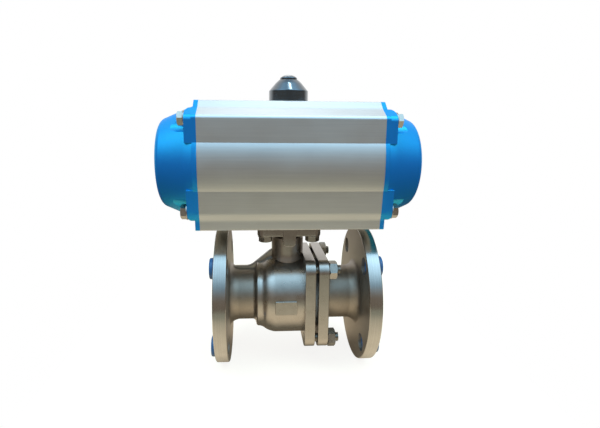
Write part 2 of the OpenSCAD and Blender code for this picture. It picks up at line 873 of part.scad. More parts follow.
module piston() {
    difference() {
        union() {
            bar_x(piston_r, piston_inner, piston_outer);
            translate([0, 0, -rack_arm_h / 2]) linear_extrude(rack_arm_h)
                rack_teeth(-rack_overhang, piston_inner + 1);
        }
        ring_x(cylinder_r - piston_seal_d - running_gap, cylinder_r + 1,
            piston_seal_x - 2, piston_seal_x + 2);
        ring_x(cylinder_r - band_t - running_gap, cylinder_r + 1, band_x, band_x + band_w);
        bar_x(hollow_r, piston_outer - hollow_depth, piston_outer + 1);
    }
}

module right_piston() {
    color("darkgrey") on_cylinder() piston();
}

module left_piston() {
    color("darkgrey") on_cylinder() other_end() piston();
}

module piston_seal() {
    translate([piston_seal_x, 0, 0]) rotate([0, 90, 0])
        round_ring(cylinder_r - piston_seal_d / 2 - running_gap, piston_seal_d);
}

module right_piston_seal() {
    color("black") on_cylinder() piston_seal();
}

module left_piston_seal() {
    color("black") on_cylinder() other_end() piston_seal();
}

module guide_band() {
    ring_x(cylinder_r - band_t - running_gap, cylinder_r - running_gap, band_x + 0.1, band_x + band_w - 0.1);
}

module right_guide_band() {
    color("ivory") on_cylinder() guide_band();
}

module left_guide_band() {
    color("ivory") on_cylinder() other_end() guide_band();
}

// Plastic shoe between the back of the rack and the cylinder wall
module rack_shoe() {
    intersection() {
        bar_x(cylinder_r - running_gap, shoe_x, shoe_x + shoe_len);
        translate([shoe_x, -cylinder_r, -shoe_h / 2]) cube([shoe_len, cylinder_r - rack_back, shoe_h]);
    }
}

module right_rack_shoe() {
    color("ivory") on_cylinder() rack_shoe();
}

module left_rack_shoe() {
    color("ivory") on_cylinder() other_end() rack_shoe();
}

// Pinion with involute teeth

// Involute function of the pressure angle at radius r, in degrees
function involute(r) = tan(acos(base_r / r)) * 180 / PI - acos(base_r / r);

// Half tooth angle at radius r
function tooth_half(r) = 90 / gear_teeth - backlash / 4 / pitch_r * 180 / PI
    + involute(pitch_r) - involute(r);

// Radii of the points along one tooth flank
flank = [base_r + 0.01, base_r + 0.5, pitch_r, pitch_r + gear_module / 2, tip_r];

function polar(r, a) = [r * cos(a), r * sin(a)];

module gear_outline() {
    polygon([for (i = [0:gear_teeth - 1]) let (a = 90 + i * 360 / gear_teeth) each concat(
        [polar(root_r, a - tooth_half(flank[0]))],
        [for (r = flank) polar(r, a - tooth_half(r))],
        [for (k = [len(flank) - 1:-1:0]) polar(flank[k], a + tooth_half(flank[k]))],
        [polar(root_r, a + tooth_half(flank[0]))]
    )]);
}

// Round shaft with two flats
module flatted(r, flats) {
    intersection() {
        circle(r = r);
        square([2 * r, flats], center = true);
    }
}

module pinion() {
    color("dimgrey") on_cylinder() difference() {
        union() {
            translate([0, 0, pinion_bottom])
                cylinder(r = lower_journal_r, h = -gear_h / 2 - pinion_bottom + eps);
            translate([0, 0, -gear_h / 2]) linear_extrude(gear_h) gear_outline();
            translate([0, 0, gear_h / 2 - eps]) linear_extrude(cam_z + cam_h / 2 - gear_h / 2)
                flatted(cam_seat_d / 2, cam_seat_flats);
            cylinder(r = cam_seat_d / 2, h = cam_z - cam_h / 2);
            translate([0, 0, cam_z + cam_h / 2 - eps])
                cylinder(r = upper_journal_r, h = snap_ring_z + snap_ring_t + 1 - cam_z - cam_h / 2);
            translate([0, 0, snap_ring_z]) linear_extrude(pinion_top - snap_ring_z)
                flatted(shaft_top_r, shaft_flats);
        }
        translate([0, 0, pinion_bottom - 1]) linear_extrude(stem_square_len + 3)
            square(stem_square + 0.3, center = true);
        ring(lower_journal_r + loose_gap - shaft_seal, lower_journal_r + 1,
            -shaft_seal_z - seal_groove_w / 2, -shaft_seal_z + seal_groove_w / 2);
        ring(upper_journal_r + loose_gap - shaft_seal, upper_journal_r + 1,
            shaft_seal_z - seal_groove_w / 2, shaft_seal_z + seal_groove_w / 2);
        ring(snap_groove_r, upper_journal_r + 1, snap_ring_z, snap_ring_z + snap_ring_t);
        translate([0, 0, pinion_top - shaft_slot]) linear_extrude(shaft_slot + 1)
            square([2 * upper_journal_r, shaft_slot], center = true);
    }
}

// Two-lobed cam on the pinion
module stop_cam() {
    color("grey") on_cylinder() translate([0, 0, cam_z - cam_h / 2]) linear_extrude(cam_h) difference() {
        union() {
            circle(r = cam_hub_r);
            translate([0, -cam_lobe_w / 2]) square([cam_reach, cam_lobe_w]);
            translate([-cam_lobe_w / 2, -cam_reach]) square([cam_lobe_w, cam_reach]);
        }
        flatted(cam_seat_d / 2 + running_gap, cam_seat_flats + 2 * running_gap);
    }
}

module pinion_bottom_bush() {
    color("ivory") on_cylinder()
        ring(lower_journal_r + running_gap, bottom_bush_r, -land_z + 0.2, -land_z + bottom_bush_t + 1);
}

module pinion_top_bush() {
    color("ivory") on_cylinder() ring(upper_journal_r + running_gap, top_bush_r, land_z - top_bush_t, land_z);
}

module pinion_bottom_seal() {
    color("black") on_cylinder() translate([0, 0, -shaft_seal_z])
        round_ring(lower_journal_r + loose_gap - shaft_seal / 2, shaft_seal);
}

module pinion_top_seal() {
    color("black") on_cylinder() translate([0, 0, shaft_seal_z])
        round_ring(upper_journal_r + loose_gap - shaft_seal / 2, shaft_seal);
}

module thrust_washer() {
    color("ivory") on_cylinder()
        ring(upper_journal_r + running_gap, washer_stack_r, land_z, land_z + thrust_washer_t);
}

module backing_washer() {
    color("silver") on_cylinder()
        ring(upper_journal_r + running_gap, washer_stack_r, land_z + thrust_washer_t, snap_ring_z);
}

// Open ring in the groove of the pinion
module snap_ring() {
    color("dimgrey") on_cylinder() difference() {
        ring(snap_groove_r + running_gap, upper_journal_r + 2.5, snap_ring_z, snap_ring_z + snap_ring_t);
        translate([0, -2.5, snap_ring_z - 1]) cube([30, 5, snap_ring_t + 2]);
    }
}

// Travel stop screws on the back

module at_stops() {
    on_cylinder() for (sx = [-1, 1]) translate([sx * stop_x, 0, cam_z]) rotate([-90, 0, 0]) children();
}

module stop_screws() {
    color("silver") at_stops() difference() {
        translate([0, 0, stop_tip_y]) cylinder(r = stud_r, h = stop_screw_end - stop_tip_y);
        translate([0, 0, stop_screw_end - 5]) hex(5, 6);
    }
}

module stop_screw_seals() {
    color("black") at_stops() ring(stud_r + 0.1, nut_af / 2 - 0.5, boss_y, boss_y + stop_seal_t);
}

module stop_locknuts() {
    color("silver") at_stops() translate([0, 0, boss_y + stop_seal_t]) difference() {
        hex(nut_af, stop_nut_h);
        translate([0, 0, -1]) cylinder(r = stud_r + thread_gap, h = stop_nut_h + 2);
    }
}

// Position indicator

module indicator_section() {
    dome_foot = [indicator_r, indicator_side_z];
    dome_rim = [button_d / 2 + 1, indicator_dome_z];
    polygon(concat(
        [[0, indicator_z], [indicator_r, indicator_z]],
        arc(dome_foot, dome_rim, indicator_dome_r, 6),
        [[0, indicator_dome_z]]
    ));
}

module indicator_housing() {
    color("darkslategrey") on_cylinder() difference() {
        rotate_extrude() indicator_section();
        translate([0, 0, indicator_z - 1])
            cylinder(r = indicator_hollow_r, h = indicator_hollow_z - indicator_z + 1);
        translate([0, 0, indicator_z]) linear_extrude(pinion_top - indicator_z + 0.2)
            flatted(shaft_top_r + running_gap, shaft_flats + 2 * running_gap);
        translate([0, 0, indicator_z]) cylinder(r = 3.2, h = 40);
    }
}

module indicator_button() {
    color("black") on_cylinder() {
        translate([0, 0, indicator_dome_z]) rotate_extrude() polygon([
            [0, 0], [button_d / 2, 0], [button_d / 2, 0.35 * button_h],
            [0.42 * button_d, 0.65 * button_h], [0.3 * button_d, 0.9 * button_h], [0, button_h]
        ]);
        translate([0, 0, pinion_top + 0.2]) cylinder(r = 3, h = indicator_dome_z - pinion_top);
    }
}

actuator_body();
left_end_cap();
right_end_cap();
left_cap_gasket();
right_cap_gasket();
end_cap_bolts();
end_cap_washers();
left_piston();
right_piston();
left_piston_seal();
right_piston_seal();
left_guide_band();
right_guide_band();
left_rack_shoe();
right_rack_shoe();
pinion();
stop_cam();
pinion_top_bush();
pinion_bottom_bush();
pinion_top_seal();
pinion_bottom_seal();
thrust_washer();
backing_washer();
snap_ring();
stop_screws();
stop_locknuts();
stop_screw_seals();
indicator_housing();
indicator_button();
valve_body();
valve_end_piece();
ball();
left_seat();
right_seat();
body_gasket();
body_studs();
body_nuts();
stem();
stem_thrust_washer();
stem_o_ring();
stem_packing();
gland_ring();
disc_springs();
stem_nut();
pad_bolts();
pad_washers();
flange_hole_sleeves();
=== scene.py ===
# %% [markdown]
# # A pneumatic actuator on its ball valve
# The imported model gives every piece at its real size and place. This lesson dresses it:
# the pieces that show are modelled again with the roundings, chamfers and threads that a
# foundry, a lathe and a press leave on them, and every surface gets a finish of its own.
# The frame comes first, because each piece takes its place from it.

# %% Load the frame
import json
import math

import bmesh
import bpy
from mathutils import Matrix, Vector

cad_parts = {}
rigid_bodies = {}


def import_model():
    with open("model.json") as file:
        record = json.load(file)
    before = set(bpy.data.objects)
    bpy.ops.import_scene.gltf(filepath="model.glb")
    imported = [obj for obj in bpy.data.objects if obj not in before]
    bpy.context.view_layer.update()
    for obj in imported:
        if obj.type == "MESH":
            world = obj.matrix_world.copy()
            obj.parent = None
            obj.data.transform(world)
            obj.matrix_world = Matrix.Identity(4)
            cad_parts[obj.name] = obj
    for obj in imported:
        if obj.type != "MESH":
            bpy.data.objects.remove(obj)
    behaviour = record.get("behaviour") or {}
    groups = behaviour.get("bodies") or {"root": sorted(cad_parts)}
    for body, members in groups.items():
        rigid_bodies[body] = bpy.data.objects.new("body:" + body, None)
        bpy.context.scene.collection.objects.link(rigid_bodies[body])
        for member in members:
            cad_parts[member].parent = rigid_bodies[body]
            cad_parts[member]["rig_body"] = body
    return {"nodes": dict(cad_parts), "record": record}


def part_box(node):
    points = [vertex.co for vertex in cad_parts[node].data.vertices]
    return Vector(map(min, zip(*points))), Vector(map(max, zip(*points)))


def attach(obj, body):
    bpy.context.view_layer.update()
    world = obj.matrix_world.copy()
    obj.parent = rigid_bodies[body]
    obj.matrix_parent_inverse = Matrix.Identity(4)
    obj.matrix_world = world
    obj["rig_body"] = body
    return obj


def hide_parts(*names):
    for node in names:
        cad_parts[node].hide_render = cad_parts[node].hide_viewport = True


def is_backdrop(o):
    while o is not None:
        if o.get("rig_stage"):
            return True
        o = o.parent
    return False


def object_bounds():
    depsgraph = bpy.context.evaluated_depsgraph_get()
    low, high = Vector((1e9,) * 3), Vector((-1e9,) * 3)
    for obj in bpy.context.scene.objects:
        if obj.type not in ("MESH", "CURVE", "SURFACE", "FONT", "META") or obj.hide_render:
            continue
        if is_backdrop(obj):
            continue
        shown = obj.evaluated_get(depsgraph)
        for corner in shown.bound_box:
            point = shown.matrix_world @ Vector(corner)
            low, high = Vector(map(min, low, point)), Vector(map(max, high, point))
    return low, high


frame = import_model()
cad_low, cad_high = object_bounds()
MM = 0.001

# %% [markdown]
# ## The camera
# The photograph was taken from a little above the pipe and a little to the left. Its place and
# lens were found by fitting the corners of the body and the rims of the flanges. The picture's
# optical centre lies beside its middle, because the picture was cropped, so the lens is shifted.

# %% Camera
IMAGE_W = 600
IMAGE_H = 428
CAMERA_AT = Vector((-33.5, -463.8, 181.5)) * MM
YAW = math.radians(3.866)
PITCH = math.radians(11.341)
ROLL = math.radians(-0.439)
FOCAL_PX = 428.6
OPTICAL_CENTRE_PX = (285.5, 215.9)
SENSOR = 36.0
NEAR_CLIP = 0.01


def aim_camera():
    """A camera at the photograph's place, turned by yaw, pitch and roll."""
    forward = Vector((math.sin(YAW) * math.cos(PITCH), math.cos(YAW) * math.cos(PITCH),
                      -math.sin(PITCH)))
    level = Vector((math.cos(YAW), -math.sin(YAW), 0))
    down = forward.cross(level)
    right = math.cos(ROLL) * level + math.sin(ROLL) * down
    up = right.cross(forward)
    lens = bpy.data.cameras.new("camera")
    lens.sensor_width = SENSOR
    lens.lens = FOCAL_PX * SENSOR / IMAGE_W
    lens.shift_x = (IMAGE_W / 2 - OPTICAL_CENTRE_PX[0]) / IMAGE_W
    lens.shift_y = (OPTICAL_CENTRE_PX[1] - IMAGE_H / 2) / IMAGE_W
    lens.clip_start = NEAR_CLIP
    camera = bpy.data.objects.new("camera", lens)
    turn = Matrix((right, up, -forward)).transposed().to_4x4()
    camera.matrix_world = Matrix.Translation(CAMERA_AT) @ turn
    bpy.context.scene.collection.objects.link(camera)
    return camera


bpy.context.scene.camera = aim_camera()
print("camera lens", round(bpy.context.scene.camera.data.lens, 2), "mm")

# %% [markdown]
# ## Colours and shader nodes
# Colours are written as the sRGB values that a paint chart gives, and the shader wants linear
# light, so one function converts them. A second one adds a shader node, sets its properties and
# sets or links its inputs. Every material below is built from these two. Three short functions on
# top of them do what comes up most: map a value to a span, calculate, and mix.

# %% Helpers for materials
def linear(code):
    """The linear colour of an sRGB value such as "#1A6FB5"."""
    parts = [int(code[i:i + 2], 16) / 255 for i in (1, 3, 5)]
    return tuple(c / 12.92 if c <= 0.04045 else ((c + 0.055) / 1.055) ** 2.4
                 for c in parts) + (1.0,)


def add(tree, kind, inputs=None, **settings):
    """Add a shader node, set its properties, and set or link its inputs."""
    made = tree.nodes.new("ShaderNode" + kind)
    for name, value in settings.items():
        setattr(made, name, value)
    for name, value in (inputs or {}).items():
        if isinstance(value, bpy.types.NodeSocket):
            tree.links.new(value, made.inputs[name])
        else:
            made.inputs[name].default_value = value
    return made


def ramp(tree, value, span, ends=(0.0, 1.0)):
    """A value mapped from a span to two end values, and held beyond them."""
    return add(tree, "MapRange", {"Value": value, "From Min": span[0], "From Max": span[1],
                                  "To Min": ends[0], "To Max": ends[1]}).outputs[0]


def reckon(tree, operation, *values):
    """The result of a calculation with one to three values."""
    return add(tree, "Math", dict(enumerate(values)), operation=operation).outputs[0]


def blend(tree, factor, one, two, kind="RGBA"):
    """A colour between two colours, or, with the kind FLOAT, a number between two numbers."""
    mix = add(tree, "Mix", {"Factor": factor, "A": one, "B": two}, data_type=kind)
    return mix.outputs["Result"]


def per_metre(size_mm):
    """Texture scale at which one feature is size_mm wide."""
    return 1 / (size_mm * MM)


WHITE = linear("#FFFFFF")
print("white is", WHITE)

# %% [markdown]
# ## Stage
# Satin metal takes nearly all its shading from what it mirrors, so the surroundings are drawn with
# care. The object stands on a small pale table. To the camera it shows its real shadow. In
# reflections it glows, and that glow carries a painted shadow under the object and a painted
# falloff of light that makes it dimmer away from it. The background is white for the camera, and
# for reflections of what lies behind the object. The rest of the room is dim and warm at the
# horizon, cool and bright overhead.

# %% Board of the table
BOARD = linear("#A08E74")
MIRRORED_BOARD = linear("#FFE9CA")
FLOOR_LIFT = 0.84
MIRROR_LIFT = 0.95
# The glow that mirrors see has a painted shadow under the object and a painted falloff of light to
# the front and the back.
PAINTED_SHADE_REACH = (0.15, 0.05)
PAINTED_SHADE_EDGE = (0.6, 1.2)
PAINTED_SHADE_DEPTH = 0.15
FRONT_FALLOFF_SPAN, FRONT_FALLOFF_SHARE = (-0.30, -0.09), 0.2
REAR_FALLOFF_SPAN, REAR_FALLOFF_SHARE = (0.0, 0.15), 0.5


def pale_board():
    """A matt board: white but for real shadows to the camera, and in mirrors a glow with a painted
    shadow under the object and a painted falloff farther out.
    """
    material = bpy.data.materials.new("pale_matt_board")
    material.use_nodes = True
    tree = material.node_tree
    tree.nodes.clear()
    rays = add(tree, "LightPath").outputs
    place = add(tree, "TexCoord").outputs["Object"]
    depth = add(tree, "SeparateXYZ", {0: place}).outputs["Y"]
    scale = (1 / PAINTED_SHADE_REACH[0], 1 / PAINTED_SHADE_REACH[1], 0)
    under = add(tree, "Mapping", {"Vector": place, "Scale": scale}).outputs[0]
    reach = add(tree, "VectorMath", {0: under}, operation="LENGTH").outputs["Value"]
    mirror = rays["Is Glossy Ray"]
    # Painted shadow under the object, then painted falloff of light to the front and to the back.
    for share in (ramp(tree, reach, PAINTED_SHADE_EDGE, (PAINTED_SHADE_DEPTH * MIRROR_LIFT, MIRROR_LIFT)),
                  ramp(tree, depth, FRONT_FALLOFF_SPAN, (FRONT_FALLOFF_SHARE, 1.0)),
                  ramp(tree, depth, REAR_FALLOFF_SPAN, (1.0, REAR_FALLOFF_SHARE))):
        mirror = reckon(tree, "MULTIPLY", mirror, share)
    seen = reckon(tree, "MAXIMUM", rays["Is Camera Ray"], rays["Is Transmission Ray"])
    seen = reckon(tree, "MULTIPLY", seen, FLOOR_LIFT)
    lift = reckon(tree, "MAXIMUM", seen, mirror)
    shown = blend(tree, rays["Is Glossy Ray"], WHITE, MIRRORED_BOARD)
    glow = add(tree, "Emission", {"Color": shown, "Strength": lift})
    board = add(tree, "BsdfDiffuse", {"Color": BOARD})
    both = add(tree, "AddShader", {0: board.outputs[0], 1: glow.outputs[0]})
    add(tree, "OutputMaterial", {"Surface": both.outputs[0]})
    return material


board = pale_board()
print("made", board.name)

# %% Table
FLOOR_SIZE = (0.5, 1.0)


def pale_floor():
    """A flat table top under the object."""
    bm = bmesh.new()
    bmesh.ops.create_grid(bm, x_segments=1, y_segments=1, size=0.5)
    bmesh.ops.scale(bm, verts=bm.verts[:], vec=(*FLOOR_SIZE, 1))
    bmesh.ops.translate(bm, verts=bm.verts[:], vec=(0, 0, cad_low.z))
    mesh = bpy.data.meshes.new("floor")
    bm.to_mesh(mesh)
    bm.free()
    mesh.materials.append(board)
    floor = bpy.data.objects.new("floor", mesh)
    bpy.context.scene.collection.objects.link(floor)
    return floor


pale_floor()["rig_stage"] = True
print("floor at", round(cad_low.z / MM, 1), "mm")

# %% [markdown]
# The room is drawn by direction alone. Each span below is a range of a direction's X, Y or Z, from
# -1 to 1, over which the light changes from one level to the next.

# %% Room
ROOM_FLOOR = 0.21
ROOM_HORIZON = 0.28
ROOM_GAIN = 2.5
ROOM_POWER = 2.3
SIDE_GAIN = 2.4
BACK_GAIN = 0.28
LOW_SPAN = (-0.4, 0.0)
SIDE_SPAN = (0.15, 0.5)
BACK_SPAN = (-0.3, 0.2)
BEHIND_SPAN = (0.05, 0.5)
WALL_SPAN = (-0.3, 0.05)
COOL_SPAN = (0.12, 0.45)
WARM_LIGHT, COOL_LIGHT = linear("#FFEAD2"), linear("#B8E2FF")


def studio_room():
    """World light: dim and warm low down, cool and bright overhead, with a white background."""
    world = bpy.data.worlds.new("studio")
    bpy.context.scene.world = world
    world.use_nodes = True
    tree = world.node_tree
    tree.nodes.clear()
    way = add(tree, "SeparateXYZ", {0: add(tree, "TexCoord").outputs["Generated"]}).outputs
    base = ramp(tree, way["Z"], LOW_SPAN, (ROOM_FLOOR, ROOM_HORIZON))
    rise = reckon(tree, "POWER", reckon(tree, "MAXIMUM", way["Z"], 0.0), ROOM_POWER)
    sides = ramp(tree, reckon(tree, "ABSOLUTE", way["X"]), SIDE_SPAN,
                 (ROOM_GAIN, ROOM_GAIN * SIDE_GAIN))
    back = ramp(tree, way["Y"], BACK_SPAN, (1.0, BACK_GAIN))
    sky = reckon(tree, "MULTIPLY_ADD", rise, reckon(tree, "MULTIPLY", sides, back), base)
    rays = add(tree, "LightPath").outputs
    mirror = reckon(tree, "MAXIMUM", rays["Is Glossy Ray"], rays["Is Transmission Ray"])
    for share in (ramp(tree, way["Y"], BEHIND_SPAN), ramp(tree, way["Z"], WALL_SPAN)):
        mirror = reckon(tree, "MULTIPLY", mirror, share)
    white = reckon(tree, "MAXIMUM", rays["Is Camera Ray"], mirror)
    tint = blend(tree, ramp(tree, way["Z"], COOL_SPAN), WARM_LIGHT, COOL_LIGHT)
    room = add(tree, "Background", {"Color": blend(tree, white, tint, WHITE),
                                    "Strength": reckon(tree, "MAXIMUM", sky, white)})
    add(tree, "OutputWorld", {"Surface": room.outputs[0]})


studio_room()
bpy.context.scene.view_settings.view_transform = "Standard"
print("room from", ROOM_HORIZON, "at the horizon to", ROOM_HORIZON + ROOM_GAIN, "overhead")

# %% [markdown]
# Two weak lamps do the rest. A narrow strip hangs over the object, a little to the right: it draws
# the streak on the black dome, and the actuator throws its shadow on the valve. A panel high behind
# the object lights the sloping faces on top of the body.

# %% Lamps
def soft_lamp(name, place, target, size, watts, colour):
    """A rectangular lamp at a place, facing a target, all in metres."""
    lamp = bpy.data.lights.new(name, "AREA")
    lamp.shape = "RECTANGLE"
    lamp.size, lamp.size_y = size
    lamp.energy = watts
    lamp.color = linear(colour)[:3]
    holder = bpy.data.objects.new(name, lamp)
    away = Vector(place) - Vector(target)
    turn = away.to_track_quat("Z", "Y").to_matrix().to_4x4()
    holder.matrix_world = Matrix.Translation(place) @ turn
    bpy.context.scene.collection.objects.link(holder)
    return holder


MIDDLE = (cad_low + cad_high) / 2
lamps = [soft_lamp("overhead_strip", (0.11, -0.07, 1.38), MIDDLE, (0.08, 0.36), 1.5, "#E2F8FF"),
         soft_lamp("back_panel", (0.0, 0.9, 1.3), MIDDLE, (0.5, 0.3), 1.0, "#F4FBFF")]
print("lamps:", [(lamp.name, lamp.data.energy) for lamp in lamps])

# %% [markdown]
# ## Finishes
# Each finish starts from what the real one is. A small function gives a new material with its
# shader and with coordinates in metres on the object. Another makes noise of a real width, and a
# third joins colour, gloss and relief to the shader. Each finish then adds its own grain.

# %% Parts of a material
NOISE_SPAN = (0.3, 0.7)


def new_material(name):
    """A new material with its tree, its principled shader and the object coordinates."""
    material = bpy.data.materials.new(name)
    material.use_nodes = True
    tree = material.node_tree
    tree.nodes.clear()
    shader = add(tree, "BsdfPrincipled")
    add(tree, "OutputMaterial", {"Surface": shader.outputs[0]})
    place = add(tree, "TexCoord").outputs["Object"]
    return material, tree, shader, place


def noise(tree, place, size_mm, detail):
    """Noise whose blotches are about size_mm wide. Most of it lies within NOISE_SPAN."""
    made = add(tree, "TexNoise", {"Vector": place, "Scale": per_metre(size_mm), "Detail": detail})
    return made.outputs["Fac"]


def surface(tree, shader, tint, gloss, height, bump_mm, settings):
    """Link colour, roughness and relief to a shader, and set its other sockets."""
    bump = add(tree, "Bump", {"Height": height, "Strength": 1.0, "Distance": bump_mm * MM})
    for socket, value in (("Base Color", tint), ("Roughness", gloss), ("Normal", bump.outputs[0])):
        tree.links.new(value, shader.inputs[socket])
    for socket, value in settings.items():
        shader.inputs[socket].default_value = value
    return bump.outputs[0]


print("noise is stretched from", NOISE_SPAN, "to the full range")

# %% Makers of finishes
METAL = {"Metallic": 1.0}
# The flakes in the coating mirror far more than a plain resin does, so its IOR is set high.
FLAKED_BLUE = {"IOR": 2.5, "Specular IOR Level": 1.0, "Specular Tint": linear("#44ECFF"),
               "Coat Weight": 0.12, "Coat Roughness": 0.08}
# A polished mould leaves the black plastic as glossy as lacquer, with a cool sheen.
GLOSSY_BLACK = {"IOR": 1.58, "Specular IOR Level": 1.0, "Specular Tint": linear("#D0ECFC"),
                "Coat Weight": 0.9, "Coat Roughness": 0.12}


def grainy(name, dark, light, blotch_mm, grain_mm, bump_mm, rough, settings=None):
    """A finish with broad blotches of two shades, a fine grain in relief and uneven gloss."""
    material, tree, shader, place = new_material(name)
    blotch = noise(tree, place, blotch_mm, 4.0)
    grain = noise(tree, place, grain_mm, 2.0)
    shade = ramp(tree, blend(tree, 0.5, blotch, grain, "FLOAT"), NOISE_SPAN)
    tint = blend(tree, shade, linear(dark), linear(light))
    gloss = ramp(tree, blotch, NOISE_SPAN, rough)
    surface(tree, shader, tint, gloss, grain, bump_mm, settings or {})
    return material


def extruded_aluminium():
    """Satin anodised aluminium: a fine etched grain, and faint die lines along the body."""
    material, tree, shader, place = new_material("satin_anodised_extruded_aluminium")
    drawn = add(tree, "Mapping", {"Vector": place, "Scale": (0.015, 1.0, 1.0)}).outputs[0]
    lines = noise(tree, drawn, 1.2, 3.0)
    grain = noise(tree, place, 0.6, 2.0)
    cloud = noise(tree, place, 35, 3.0)
    shade = ramp(tree, blend(tree, 0.4, lines, cloud, "FLOAT"), NOISE_SPAN)
    tint = blend(tree, shade, linear("#CDCDCB"), linear("#D8D7D3"))
    gloss = ramp(tree, cloud, NOISE_SPAN, (0.43, 0.50))
    surface(tree, shader, tint, gloss, blend(tree, 0.5, grain, lines, "FLOAT"), 0.02, METAL)
    return material


def blue_powder_coat():
    """A baked deep blue coating with fine flakes: a cyan sheen, and soft waves of orange peel."""
    material, tree, shader, place = new_material("baked_blue_powder_coat")
    peel = noise(tree, place, 2.2, 1.0)
    tint = blend(tree, noise(tree, place, 20, 3.0), linear("#0450CE"), linear("#0658D8"))
    gloss = ramp(tree, peel, NOISE_SPAN, (0.30, 0.38))
    relief = surface(tree, shader, tint, gloss, peel, 0.012, FLAKED_BLUE)
    tree.links.new(relief, shader.inputs["Coat Normal"])
    return material


def lathe_turned(name, dark, light, rough):
    """Turned metal: fine rings round the pipe axis, on rims and on faces alike."""
    material, tree, shader, place = new_material(name)
    split = add(tree, "SeparateXYZ", {0: place}).outputs
    across = add(tree, "CombineXYZ", {"Y": split["Y"], "Z": split["Z"]}).outputs[0]
    radius = add(tree, "VectorMath", {0: across}, operation="LENGTH").outputs["Value"]
    feed = reckon(tree, "ADD", split["X"], radius)
    rings = add(tree, "TexNoise", {"W": feed, "Scale": per_metre(0.8), "Detail": 3.0},
                noise_dimensions="1D").outputs["Fac"]
    cloud = noise(tree, place, 14, 4.0)
    shade = ramp(tree, blend(tree, 0.4, rings, cloud, "FLOAT"), NOISE_SPAN)
    tint = blend(tree, shade, linear(dark), linear(light))
    surface(tree, shader, tint, ramp(tree, cloud, NOISE_SPAN, rough), rings, 0.012, METAL)
    return material


print("steel is given", METAL)

# %% [markdown]
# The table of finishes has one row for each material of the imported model. The numbers are the
# widths of the blotches and of the grain and the depth of the grain, all in millimetres, and then
# the least and the greatest roughness.

# %% Finishes
FINISH = {
    "anodised_aluminium": extruded_aluminium(),
    "blue_coating": blue_powder_coat(),
    # Satin, with a soft sheen that follows the curves of the casting.
    "cast_stainless": grainy("blasted_cast_stainless", "#A09A92", "#B4AEA6",
                             9, 0.9, 0.015, (0.26, 0.34), METAL),
    # The dull, slightly brown skin of the mould, which hardly mirrors. Its darker colour is also
    # painted shade for the recessed necks and inner flange sides.
    "dull_stainless": grainy("shell_cast_stainless_with_painted_shade", "#978E82", "#ABA194",
                             6, 0.7, 0.02, (0.44, 0.54), METAL),
    # Bright rims that mirror the room in bands.
    "turned_stainless": lathe_turned("turned_stainless", "#A29E98", "#B7B4AE", (0.16, 0.23)),
    # Satin facets, each as bright as what it faces.
    "bright_steel": grainy("forged_stainless_fastener", "#9F9B93", "#B6B2A9",
                           5, 0.5, 0.01, (0.24, 0.34), METAL),
    # Nearly black, with a clear picture of the lamps.
    "black_plastic": grainy("moulded_black_plastic", "#08121A", "#0E1A24",
                            8, 0.5, 0.004, (0.12, 0.17), GLOSSY_BLACK),
    # A plain greyish blue with a soft gloss.
    "blue_plastic": grainy("moulded_blue_plastic", "#356594", "#4273A2",
                           6, 0.7, 0.01, (0.30, 0.40)),
    # Flat black.
    "black_rubber": grainy("moulded_rubber", "#121212", "#1D1D1D", 5, 0.4, 0.015, (0.55, 0.70)),
    # Light grey and a little rough, as it comes from the die.
    "cast_aluminium": grainy("die_cast_aluminium", "#9FA1A2", "#B4B6B7",
                             7, 0.6, 0.03, (0.38, 0.50), METAL),
    # Ivory, with the sheen of wax.
    "ivory_plastic": grainy("machined_acetal", "#DCD6C6", "#E8E3D6",
                            6, 0.5, 0.01, (0.35, 0.45)),
    # Smooth, with a warm shine.
    "nickel_steel": grainy("nickel_plated_steel", "#A9A69C", "#BBB8AE",
                           6, 0.4, 0.006, (0.20, 0.30), METAL),
    # White and waxy.
    "white_ptfe": grainy("sintered_white_ptfe", "#E2E1DC", "#EFEEEA",
                         5, 0.5, 0.01, (0.40, 0.50)),
}
print(len(FINISH), "finishes")

# %% [markdown]
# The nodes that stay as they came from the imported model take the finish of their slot. They are
# the pieces inside, such as pistons, seals, seats and the ball, which show only in the bores.

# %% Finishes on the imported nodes
slot_of = {part["node"]: part["material_slot"] for part in frame["record"]["subparts"]}
for node, part in frame["nodes"].items():
    for holder in part.material_slots:
        holder.material = FINISH[slot_of[node]]
print("finished", len(slot_of), "nodes")

# %% [markdown]
# ## Workshop
# Nearly every piece here is turned on a lathe or cut from plate, so two functions do most of the
# work. Both start from an outline of a few corner points, in millimetres, each with the length of
# its rounding. A vertex bevel turns that corner into an arc. Then the outline is spun round an
# axis, or pushed to a depth with its rims bevelled. Holes and joins are Boolean steps.

# %% Outlines
X_AXIS, Y_AXIS, Z_AXIS = Vector((1, 0, 0)), Vector((0, 1, 0)), Vector((0, 0, 1))
MERGE = 0.002


def tidy(bm):
    """Merge doubled points and turn every face outwards."""
    bmesh.ops.remove_doubles(bm, verts=bm.verts[:], dist=MERGE * MM)
    bmesh.ops.recalc_face_normals(bm, faces=bm.faces[:])


def trace(bm, corners, origin, across, upward, closed):
    """Join corners (across, upward, rounding) with edges and round each one."""
    points = [bm.verts.new((origin + across * a + upward * b) * MM) for a, b, _ in corners]
    for one, two in zip(points, points[1:] + points[:1] * closed):
        bm.edges.new((one, two))
    for point, (_, _, rounding) in zip(points, corners):
        if rounding:
            bmesh.ops.bevel(bm, geom=[point], offset=rounding * MM, offset_type="OFFSET",
                            affect="VERTICES", segments=3 + int(rounding), profile=0.5,
                            material=-1, clamp_overlap=True)


def turned(corners, along, centre=(0, 0, 0), steps=128):
    """Lathe work: an outline of (along, radius, rounding) spun round an axis."""
    along, centre = Vector(along), Vector(centre)
    bm = bmesh.new()
    trace(bm, corners, centre, along, along.orthogonal().normalized(), corners[0][1] > 0)
    bmesh.ops.spin(bm, geom=bm.verts[:] + bm.edges[:], cent=centre * MM, axis=along,
                   angle=math.tau, steps=steps, use_merge=True)
    tidy(bm)
    return bm


